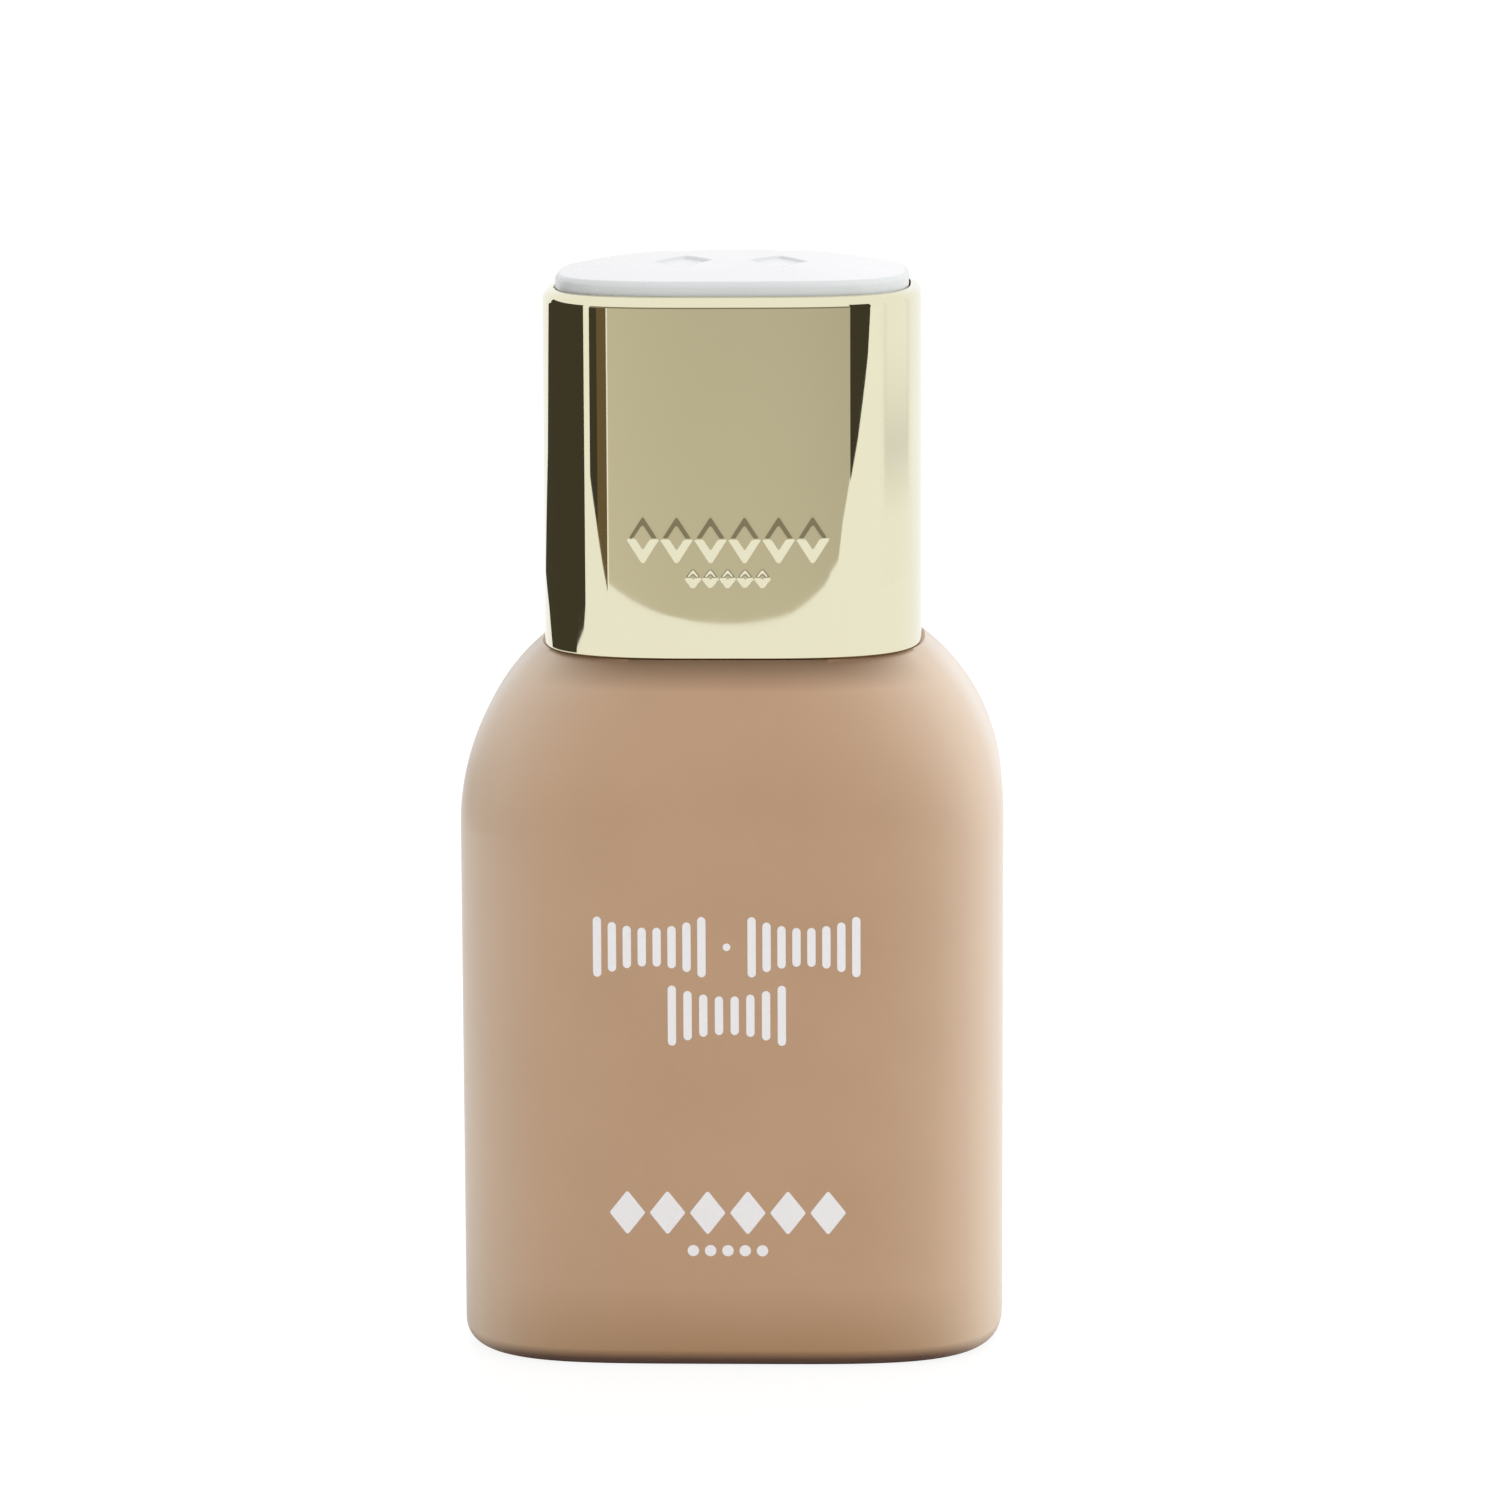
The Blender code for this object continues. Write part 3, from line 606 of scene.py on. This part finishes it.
def lozenge_outline(mark, corner_steps=5):
    """Outline of a lozenge with round corners, counter-clockwise."""
    centre_u, centre_v, half_u, half_v = mark
    corner = 0.12 * min(half_u, half_v)
    side = math.hypot(half_u, half_v)
    points = []
    for quarter in range(4):
        along, across = (half_u, half_v) if quarter % 2 == 0 else (half_v, half_u)
        middle = quarter * math.pi / 2
        spread = math.atan2(along, across)
        tip = along - corner * side / across
        for step in range(corner_steps + 1):
            angle = middle - spread + 2 * spread * step / corner_steps
            u = tip * math.cos(middle) + corner * math.cos(angle)
            v = tip * math.sin(middle) + corner * math.sin(angle)
            points.append((centre_u + u, centre_v + v))
    return points


def bar_outline(u, v, half_width, half_height, end_steps=8):
    """Upright bar with round ends, counter-clockwise."""
    points = []
    for end in (1, -1):
        for step in range(end_steps + 1):
            angle = math.pi * step / end_steps
            across = half_width * math.cos(angle)
            up = half_height - half_width + half_width * math.sin(angle)
            points.append((u + end * across, v + end * up))
    return points


def body_front(x):
    """Distance of the bottle's front from the axis, at a distance x from the middle."""
    return (BODY_HALF**BODY_POWER - abs(x) ** BODY_POWER) ** (1 / BODY_POWER)


def printed(name, outlines):
    """Flat marks on the front of the bottle, each a thin closed slab that follows the glass."""
    bm = bmesh.new()
    for outline in outlines:
        outer = []
        inner = []
        for u, v in outline:
            outer.append(bm.verts.new((u, -body_front(u) - PRINT_HEIGHT, v)))
            inner.append(bm.verts.new((u, -body_front(u) + PRINT_SINK, v)))
        bm.faces.new(outer)
        bm.faces.new(inner)
        for here in range(len(outer)):
            there = (here + 1) % len(outer)
            bm.faces.new((outer[here], outer[there], inner[there], inner[here]))
    marks = object_from(name, bm, LOOKS["print_ink"], sharp=30)
    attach(marks, "bottle")
    return marks


def dot_outline(u, v, radius):
    return [(u + radius * math.cos(angle), v + radius * math.sin(angle)) for angle in even_angles(16)]


def bar_row(middle, width, z):
    """Upright bars, higher towards both ends of the row."""
    outlines = []
    for number in range(BARS_IN_ROW):
        share = 2 * number / (BARS_IN_ROW - 1) - 1
        u = middle + share * (width / 2 - BAR_HALF_WIDTH)
        half_height = BAR_HALF_HEIGHT + BAR_RISE * share * share
        outlines.append(bar_outline(u, z, BAR_HALF_WIDTH, half_height))
    return outlines


def front_print():
    """White marks on the front: two rows of bars, a row of lozenges and a row of dots."""
    upper = [dot_outline(0, UPPER_BARS_Z, 0.28 * MM)]
    for side in (-1, 1):
        upper += bar_row(side * UPPER_ROW_X, UPPER_ROW_WIDTH, UPPER_BARS_Z)
    printed("print_upper", upper)
    printed("print_middle", bar_row(0, MIDDLE_ROW_WIDTH, MIDDLE_BARS_Z))
    lower = lozenge_row(6, 2.9 * MM, 1.3 * MM, 1.65 * MM, LOZENGES_Z)
    printed("print_lower", [lozenge_outline(mark) for mark in lower])
    dots = [dot_outline(number * 1.25 * MM, DOTS_Z, 0.42 * MM) for number in range(-2, 3)]
    printed("print_dots", dots)


# ---------------------------------------------------------------- bottle


def neck_thread(point):
    """Pushes the wall of the neck out along the helix of its thread."""
    height = point.z - LEDGE_Z - THREAD_START
    angle = math.atan2(point.y, point.x) % FULL_TURN
    push = 0.0
    for turn in range(3):
        along = angle + FULL_TURN * turn
        fade = min(along, FULL_TURN * THREAD_TURNS - along) / (math.pi / 4)
        if fade <= 0:
            continue
        side = abs(height - THREAD_PITCH * along / FULL_TURN)
        rise = min(max((0.95 * MM - side) / (0.5 * MM), 0), 1)
        push = max(push, THREAD_HEIGHT * min(fade, 1) * rise * rise * (3 - 2 * rise))
    scale = 1 + push / math.hypot(point.x, point.y)
    point.x *= scale
    point.y *= scale


def glass_bottle():
    low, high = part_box("glass_bottle")
    half = BODY_HALF
    neck_top = high.z
    heel = fillet(half - HEEL_RADIUS, HEEL_RADIUS, HEEL_RADIUS, -90, 0, BODY_POWER, 10)
    wall = wall_sections(half, BODY_POWER, HEEL_RADIUS, SHOULDER_START, 1.5 * MM)
    shoulder_end = math.degrees(math.asin((LEDGE_Z - SHOULDER_START) / SHOULDER_RADIUS))
    shoulder = arc_sections(
        (half - SHOULDER_RADIUS, SHOULDER_START),
        (SHOULDER_RADIUS, SHOULDER_RADIUS),
        (0, shoulder_end),
        (BODY_POWER, LEDGE_POWER),
        28,
    )
    neck_foot = NECK_RADIUS + 0.8 * MM
    neck = [circle(neck_foot, LEDGE_Z)]
    neck += fillet(NECK_RADIUS + NECK_RIM, LEDGE_Z + NECK_RIM, NECK_RIM, 270, 180)
    neck += wall_sections(NECK_RADIUS, 2, LEDGE_Z + NECK_RIM, neck_top - NECK_RIM, 0.14 * MM)
    neck += fillet(NECK_RADIUS - NECK_RIM, neck_top - NECK_RIM, NECK_RIM, 0, 90)
    neck += fillet(BORE_RADIUS + NECK_RIM, neck_top - NECK_RIM, NECK_RIM, 90, 180)
    cavity_half = half - GLASS_WALL
    cavity = [circle(BORE_RADIUS, CAVITY_TOP + 1 * MM)]
    cavity += arc_sections(
        (BORE_RADIUS, CAVITY_SHOULDER_START),
        (cavity_half - BORE_RADIUS, CAVITY_TOP - CAVITY_SHOULDER_START),
        (84, 0),
        (2, BODY_POWER),
        20,
    )
    cavity += fillet(
        cavity_half - FLOOR_CORNER, GLASS_FLOOR + FLOOR_CORNER, FLOOR_CORNER, 0, -90, BODY_POWER
    )
    recess = [circle(RECESS_RADIUS, RECESS_DEPTH), circle(RECESS_RADIUS + RECESS_DEPTH, low.z)]

    def thread(point):
        outside = math.hypot(point.x, point.y) > NECK_RADIUS - 0.01 * MM
        if outside and point.z > LEDGE_Z + NECK_RIM:
            neck_thread(point)

    sections = recess + heel + wall + shoulder + neck + cavity
    angles = even_angles(224)
    bottle = stack("glass_bottle_fine", sections, LOOKS["frosted_glass"], angles, shape=thread)
    return stand_for(bottle, "bottle", "glass_bottle")


def shade_label():
    low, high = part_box("shade_label")
    radius = high.x
    edge = (high.z - low.z) / 2
    sections = fillet(radius - edge, low.z + edge, edge, -90, 90)
    label = stack("shade_label_fine", sections, LOOKS["label_paper"])
    return stand_for(label, "bottle", "shade_label")


# ---------------------------------------------------------------- overcap


def overcap_shell():
    """Square metal cover with raised marks low on its front, and a shallow recess for the plate."""
    low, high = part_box("overcap_shell")
    half = high.x
    inner = half - CAP_WALL
    recess = inner + PLATE_GAP
    recess_floor = high.z - PLATE_RECESS_DEPTH
    ceiling = high.z - CAP_ROOF
    foot = CAP_FOOT_RADIUS
    marks = lozenge_row(6, 2.45 * MM, 0.88 * MM, 1.35 * MM, low.z + RAISED_LARGE_Z)
    marks += lozenge_row(5, 1.25 * MM, 0.40 * MM, 0.5 * MM, low.z + RAISED_SMALL_Z)
    marks_low = low.z + RELIEF_LOW
    marks_high = low.z + RELIEF_TOP

    def relief(point):
        in_rows = marks_low < point.z < marks_high and abs(point.x) < RELIEF_HALF_WIDTH
        if in_rows and point.y < -inner:
            point.y -= RELIEF_HEIGHT * relief_share(marks, point.x, point.z, RELIEF_SOFTNESS)

    sections = [(inner, ceiling, CAP_POWER)]
    sections += wall_sections(inner, CAP_POWER, ceiling, low.z + foot, 3 * MM)
    sections += fillet(inner + foot, low.z + foot, foot, 180, 270, CAP_POWER, 3)
    sections += fillet(half - foot, low.z + foot, foot, 270, 360, CAP_POWER, 4)
    sections += wall_sections(half, CAP_POWER, low.z + foot, marks_low, 0.8 * MM)
    sections += [(half, marks_low, CAP_POWER)]
    sections += wall_sections(half, CAP_POWER, marks_low, marks_high, 0.09 * MM)
    sections += [(half, marks_high, CAP_POWER)]
    edge_start = high.z - CAP_EDGE_RADIUS
    wall_top = edge_start - 0.1 * MM
    sections += wall_sections(half, CAP_POWER, marks_high, wall_top, 0.9 * MM)
    sections += [(half, wall_top, CAP_POWER)]
    sections += fillet(half - CAP_EDGE_RADIUS, edge_start, CAP_EDGE_RADIUS, 0, 90, CAP_POWER, 10)
    sections += [
        (recess + 0.05 * MM, high.z, CAP_POWER),
        (recess, high.z - 0.05 * MM, CAP_POWER),
        (recess, recess_floor, CAP_POWER),
    ]
    angles = front_angles(half, CAP_POWER, 200, RELIEF_HALF_WIDTH, 0.1 * MM)
    shell = stack("overcap_shell_fine", sections, LOOKS["pale_gold"], angles, shape=relief)
    return stand_for(shell, "overcap", "overcap_shell")


def overcap_top_plate():
    """White plate, slightly crowned, with faint sunk marks in the middle."""
    low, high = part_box("overcap_top_plate")
    half = high.x
    rim = high.z - PLATE_CROWN
    marks = []
    for side in (-1, 1):
        for end in (-1, 1):
            marks.append((side * PLATE_MARK_X, end * PLATE_MARK_Y, 2.0 * MM, 2.9 * MM))

    def relief(point):
        if point.z > rim + 0.5 * MM:
            share = relief_share(marks, point.x, point.y, PLATE_MARK_SOFTNESS)
            point.z -= PLATE_MARK_DEPTH * share

    foot = 0.1 * MM
    top_half = half - PLATE_EDGE
    sections = [(half - foot, low.z, CAP_POWER), (half, low.z + foot, CAP_POWER)]
    sections += wall_sections(half, CAP_POWER, low.z + foot, rim - PLATE_EDGE, 0.5 * MM)
    sections += fillet(top_half, rim - PLATE_EDGE, PLATE_EDGE, 0, 80, CAP_POWER)
    steps = 110
    for step in range(1, steps):
        share = 1 - step / steps
        sections.append((top_half * share, rim + PLATE_CROWN * (1 - share**2.5), CAP_POWER))
    angles = even_angles(256)
    plate = stack("overcap_top_plate_fine", sections, LOOKS["white_gloss"], angles, shape=relief)
    return stand_for(plate, "overcap", "overcap_top_plate")


def liner_ribs(point, bore, rib_low, rib_high):
    """Pushes the bore of the liner in to form its grip ribs, which taper out at both ends."""
    radius = math.hypot(point.x, point.y)
    if radius > bore + 0.01 * MM or not rib_low < point.z < rib_high:
        return
    turn = math.atan2(point.y, point.x) / FULL_TURN * GRIP_RIBS - 0.5
    across = abs(turn - round(turn)) / GRIP_RIBS * FULL_TURN * bore
    rise = math.sqrt(max(1 - (across / GRIP_RIB_HALF) ** 2, 0))
    end = min(min(point.z - rib_low, rib_high - point.z) / (0.8 * MM), 1)
    scale = 1 - GRIP_RIB_HALF * rise * end / radius
    point.x *= scale
    point.y *= scale


def overcap_liner():
    """Round sleeve inside the overcap, with grip ribs in its bore and a square foot that fills the mouth."""
    low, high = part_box("overcap_liner")
    foot = high.x
    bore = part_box("collar_trim")[1].x + 0.6 * MM
    outer = bore + LINER_WALL
    foot_top = low.z + 1.3 * MM
    lip = 0.2 * MM
    mouth = 0.3 * MM
    rib_low = low.z + 2.0 * MM
    rib_high = low.z + 8.0 * MM

    def ribs(point):
        liner_ribs(point, bore, rib_low, rib_high)

    sections = fillet(outer - lip, high.z - lip, lip, 90, 0, steps=4)
    sections += [circle(outer, foot_top)]
    sections += fillet(foot - lip, foot_top - lip, lip, 90, 0, CAP_POWER, 4)
    sections += fillet(foot - lip, low.z + lip, lip, 0, -90, CAP_POWER, 4)
    sections += fillet(bore + mouth, low.z + mouth, mouth, 270, 180, steps=5)
    sections += [circle(bore, rib_low)]
    sections += wall_sections(bore, 2, rib_low, rib_high, 0.2 * MM)
    sections += [circle(bore, rib_high)]
    sections += fillet(bore - lip, high.z - 0.6 * MM - lip, lip, 0, 90, steps=4)
    angles = even_angles(480)
    liner = stack("overcap_liner_fine", sections, LOOKS["white_plastic"], angles, shape=ribs)
    return stand_for(liner, "overcap", "overcap_liner")


# ---------------------------------------------------------------- pump


def collar_trim():
    """Thin metal sleeve over the closure, rolled in round the button."""
    low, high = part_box("collar_trim")
    outer = high.x
    inner = outer - COLLAR_WALL
    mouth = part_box("actuator_button")[1].x + 0.4 * MM
    lip = 0.12 * MM
    roll_end = high.z - 1.0 * MM
    sections = [circle(inner, low.z)]
    sections += fillet(outer - lip, low.z + lip, lip, 270, 360, steps=4)
    sections += fillet(outer - COLLAR_EDGE, high.z - COLLAR_EDGE, COLLAR_EDGE, 0, 90, steps=10)
    sections += fillet(mouth + lip, high.z - lip, lip, 90, 180, steps=4)
    sections += [
        circle(mouth, roll_end),
        circle(mouth + COLLAR_WALL, roll_end),
        circle(mouth + COLLAR_WALL, high.z - COLLAR_WALL),
        circle(inner, high.z - COLLAR_WALL),
    ]
    collar = stack("collar_trim_fine", sections, LOOKS["pale_gold"], closed=True)
    return stand_for(collar, "pump", "collar_trim")


def laid_forward(name, sections, z, look):
    """A round piece built along Z, laid down so that its axis points forward at height z."""
    rod = stack(name, sections, look, even_angles(64))
    rod.data.transform(Matrix.Translation((0, 0, z)) @ Matrix.Rotation(math.pi / 2, 4, "X"))
    return rod


def actuator_button():
    """Finger button with a dished top, and a nozzle with its channel at the front."""
    low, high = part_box("actuator_button")
    look = LOOKS["white_plastic"]
    radius = high.x
    nozzle_end = -low.y
    nozzle_z = high.z - NOZZLE_DROP
    lip = 0.15 * MM
    skirt_inner = radius - 0.8 * MM
    boss = STEM_RADIUS + 1.1 * MM
    boss_foot = low.z + 0.5 * MM
    socket = STEM_RADIUS + 0.2 * MM
    socket_top = low.z + 3.6 * MM
    riser = 0.9 * MM
    roof = low.z + 2.2 * MM
    dish_radius = radius - BUTTON_EDGE
    sections = []
    steps = 24
    for step in range(1, steps):
        share = step / steps
        sections.append(circle(dish_radius * share, high.z - BUTTON_DISH * (1 - share**3)))
    sections += fillet(dish_radius, high.z - BUTTON_EDGE, BUTTON_EDGE, 90, 0, steps=12)
    sections += fillet(radius - lip, low.z + lip, lip, 0, -90, steps=4)
    sections += [
        circle(skirt_inner, low.z),
        circle(skirt_inner, roof),
        circle(boss, roof),
        circle(boss, boss_foot),
        circle(socket, boss_foot),
        circle(socket, socket_top),
        circle(riser, socket_top),
        circle(riser, nozzle_z),
    ]
    button = stack("actuator_button_fine", sections, look, even_angles(160))
    rim = 0.3 * MM
    barrel = [circle(NOZZLE_RADIUS + 0.1 * MM, radius - 2 * MM)]
    barrel += fillet(NOZZLE_RADIUS - rim, nozzle_end - rim, rim, 0, 90, steps=8)
    combine(button, laid_forward("nozzle", barrel, nozzle_z, look), "UNION")
    channel = [
        circle(0.6 * MM, 0),
        circle(0.6 * MM, nozzle_end - 0.3 * MM),
        circle(1.2 * MM, nozzle_end + 0.3 * MM),
    ]
    combine(button, laid_forward("channel", channel, nozzle_z, look), "DIFFERENCE")
    smooth(button.data)
    return stand_for(button, "actuator", "actuator_button")


def return_spring():
    """Compression spring with a closed coil at each end."""
    low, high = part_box("return_spring")
    bottom = low.z + WIRE_RADIUS
    free_length = high.z - low.z - 2 * WIRE_RADIUS
    closed_rise = 2.2 * WIRE_RADIUS
    steps_per_turn = 32
    rings = []
    for step in range(SPRING_TURNS * steps_per_turn + 1):
        turn = step / steps_per_turn
        free = min(max(turn - 1, 0), SPRING_TURNS - 2) / (SPRING_TURNS - 2)
        ends = min(turn, 1) + max(turn - SPRING_TURNS + 1, 0)
        z = bottom + closed_rise * ends + (free_length - 2 * closed_rise) * free
        angle = FULL_TURN * turn
        out = Vector((math.cos(angle), math.sin(angle), 0))
        ring = []
        for side in even_angles(12):
            reach = SPRING_RADIUS + WIRE_RADIUS * math.cos(side)
            ring.append(out * reach + Vector((0, 0, z + WIRE_RADIUS * math.sin(side))))
        rings.append(ring)
    spring = object_from("return_spring_fine", skin(rings, closed=False), LOOKS["spring_steel"])
    stand_for(spring, "pump", "return_spring")
    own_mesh(spring)
    return spring


# ---------------------------------------------------------------- CAD nodes that stay


SLOT_OF_NODE = {
    "foundation_fill": "foundation",
    "neck_gasket": "gasket_foam",
    "pump_housing": "natural_plastic",
    "pump_retainer": "white_plastic",
    "dip_tube": "natural_plastic",
    "ball_retainer": "ivory_plastic",
    "screw_closure": "white_plastic",
    "pump_stem": "white_plastic",
    "piston_seat": "ivory_plastic",
    "piston": "ivory_plastic",
    "inlet_ball": "spring_steel",
}


def dress_frame():
    """Gives the nodes that keep their CAD shape the looks of their slots."""
    for name, slot in SLOT_OF_NODE.items():
        node = frame["nodes"][name]
        node.data.materials.clear()
        node.data.materials.append(LOOKS[slot])
        smooth(node.data)


# ---------------------------------------------------------------- studio


def glow(name, colour, across=0.0, low_gain=0.0, low=0.0, high=1.0):
    """Light of one colour. It changes by across per metre of x, and gains low_gain from high down to low."""
    look = Look(name)
    x, _, z = look.axes()
    level = look.span(z, 1 + low_gain, 1, low, high)
    look.emit(colour, look.math("ADD", level, look.times(x, across)))
    return look.material


def faint_patch():
    """White light with a slightly darker patch that fades into it, round a bright core."""
    look = Look("card_faint")
    _, y, z = look.axes()
    centre = 0.10
    wide = look.span(look.hill(y, centre, 0.125), 0, 1, 0, 0.4)
    narrow = look.span(look.hill(y, centre, 0.110), 0, 1, 0, 0.5)
    patch = look.times(wide, look.span(z, 0, 1, 0.028, 0.038))
    core = look.times(narrow, look.span(z, 0, 1, 0.036, 0.050))
    shade = look.times(patch, look.math("SUBTRACT", 1.0, core))
    shade = look.times(shade, look.span(z, 0.22, 0.10, 0.036, 0.050))
    look.emit(WHITE, look.math("SUBTRACT", 1.0, shade))
    return look.material


def card(name, look, edges, steps=12):
    """A curved card round the object that only reflections see.

    Edges is a list of (azimuth in degrees, bottom, top), with azimuth 0 in front and 90 at the right.
    """
    strips = [edges[0]]
    for start, end in zip(edges, edges[1:]):
        for step in range(1, steps + 1):
            share = step / steps
            strips.append([first + (last - first) * share for first, last in zip(start, end)])
    bm = bmesh.new()
    pairs = []
    for degrees, low, high in strips:
        azimuth = math.radians(degrees)
        x = CARD_RADIUS * math.sin(azimuth)
        y = -CARD_RADIUS * math.cos(azimuth)
        pairs.append((bm.verts.new((x, y, low)), bm.verts.new((x, y, high))))
    for (a, b), (c, d) in zip(pairs, pairs[1:]):
        bm.faces.new((a, c, d, b))
    made = object_from(name, bm, look)
    made.visible_camera = False
    made.visible_diffuse = False
    made.visible_shadow = False
    made.visible_transmission = False


def cards():
    """What the metal reflects: a dark flag and a narrow one at the left, grey in front, dark at the right."""
    top = CARD_TOP
    dark = glow("card_dark", CARD_DARK)
    left = [(-162, 0.0195, 0.020), (-149, 0.0155, 0.035), (-136, 0.009, top), (-125, 0, top)]
    left += [(-92, 0, top), (-88, 0.0125, top), (-77, 0.015, top), (-74.3, 0.018, top)]
    card("card_left", dark, left)
    narrow = [(-67, 0.034, top), (-66.5, 0.0335, top), (-60, 0.0285, top), (-58.2, 0.027, top)]
    card("card_left_narrow", dark, narrow)
    brown = [(-58.2, 0.027, top), (-53.4, 0.0234, top), (-48.4, 0.020, top)]
    card("card_left_brown", glow("card_brown", CARD_BROWN), brown)
    grey = glow("card_grey", CARD_GREY, -0.35, 0.08, 0.016, 0.054)
    front = [(-47.2, 0.0210, top), (-33.5, 0.0195, top), (-11, 0.0170, top), (-2, 0.0160, top)]
    front += [(9, 0.0173, top), (25.6, 0.0208, top), (35.6, 0.0240, top), (39.2, 0.0286, top)]
    front += [(46, 0.0340, top)]
    card("card_front", grey, front)
    right = [(46, 0.0333, top), (54, 0.0387, top), (62, 0.0454, top), (65.5, 0.0487, top)]
    right += [(68.3, 0.0536, top)]
    card("card_right", dark, right)
    card("card_right_faint", faint_patch(), [(82, 0.02, 0.16), (142, 0.02, 0.16)])
    card("card_rim_left", dark, [(-135, top, 0.15), (-74.3, top, 0.13)])
    card("card_rim_front", glow("card_rim", CARD_RIM), [(-66, top, 0.12), (46, top, 0.12)])
    card("card_rim_right", dark, [(46, top, 0.19), (69, top, 0.19)])


def floor():
    """White table top. The camera sees it evenly lit, with a faint reflection of what stands on it."""
    look = Look("table_top")
    look.set("Base Color", look.mix(look.noise(0.2, 2), (0.90, 0.90, 0.90), (0.92, 0.92, 0.92)))
    look.set("Roughness", 0.8)
    lit = look.shader.outputs[0]
    gloss = look.node("ShaderNodeBsdfAnisotropic")
    look.feed(gloss.inputs["Roughness"], 0.28)
    seen = look.light("ShaderNodeEmission", WHITE, 1.14)
    seen = look.blend(0.12, seen, lit)
    seen = look.blend(0.11, seen, gloss.outputs[0])
    look.show(look.blend(look.ray_is("Camera"), lit, seen))
    bm = bmesh.new()
    bmesh.ops.create_circle(bm, cap_ends=True, segments=96, radius=FLOOR_RADIUS)
    object_from("table_top", bm, look.material)


def world():
    """White room for the camera and for mirrors. Its light is stronger from the right and from above."""
    made = bpy.data.worlds.new("studio")
    bpy.context.scene.world = made
    made.use_nodes = True
    made.node_tree.nodes.clear()
    room = Nodes(made.node_tree)
    x, _, z = room.split(room.node("ShaderNodeTexCoord").outputs["Generated"])
    side = room.span(x, 0.60, 1.30, -0.8, 0.8, "SMOOTHSTEP")
    above = room.span(z, 0.0, 0.25, 0.3, 0.9, "SMOOTHSTEP")
    soft = room.light("ShaderNodeBackground", WHITE, room.math("ADD", side, above))
    mirror = room.light("ShaderNodeBackground", WHITE, 1.0)
    backdrop = room.light("ShaderNodeBackground", WHITE, 1.03)
    lit = room.blend(room.ray_is("Glossy"), soft, mirror)
    output = room.node("ShaderNodeOutputWorld")
    room.feed(output.inputs["Surface"], room.blend(room.ray_is("Camera"), lit, backdrop))


def camera():
    """Camera with a long lens, slightly to the right of the front and above it."""
    azimuth = math.radians(CAMERA_AZIMUTH)
    elevation = math.radians(CAMERA_ELEVATION)
    level = math.cos(elevation)
    back = Vector((math.sin(azimuth) * level, -math.cos(azimuth) * level, math.sin(elevation)))
    data = bpy.data.cameras.new("camera")
    data.lens = CAMERA_LENS
    data.shift_x, data.shift_y = CAMERA_SHIFT
    data.clip_start = 0.01
    made = bpy.data.objects.new("camera", data)
    bpy.context.scene.collection.objects.link(made)
    made.location = Vector((0, 0, CAMERA_AIM_Z)) + back * CAMERA_DISTANCE
    roll = Quaternion((0, 0, 1), math.radians(CAMERA_ROLL))
    made.rotation_mode = "QUATERNION"
    made.rotation_quaternion = (-back).to_track_quat("-Z", "Y") @ roll
    bpy.context.scene.camera = made


# ---------------------------------------------------------------- build

dress_frame()
glass_bottle()
shade_label()
front_print()
overcap_shell()
overcap_top_plate()
overcap_liner()
collar_trim()
actuator_button()
return_spring()
cards()
floor()
world()
camera()
bpy.context.scene.view_settings.view_transform = "Standard"
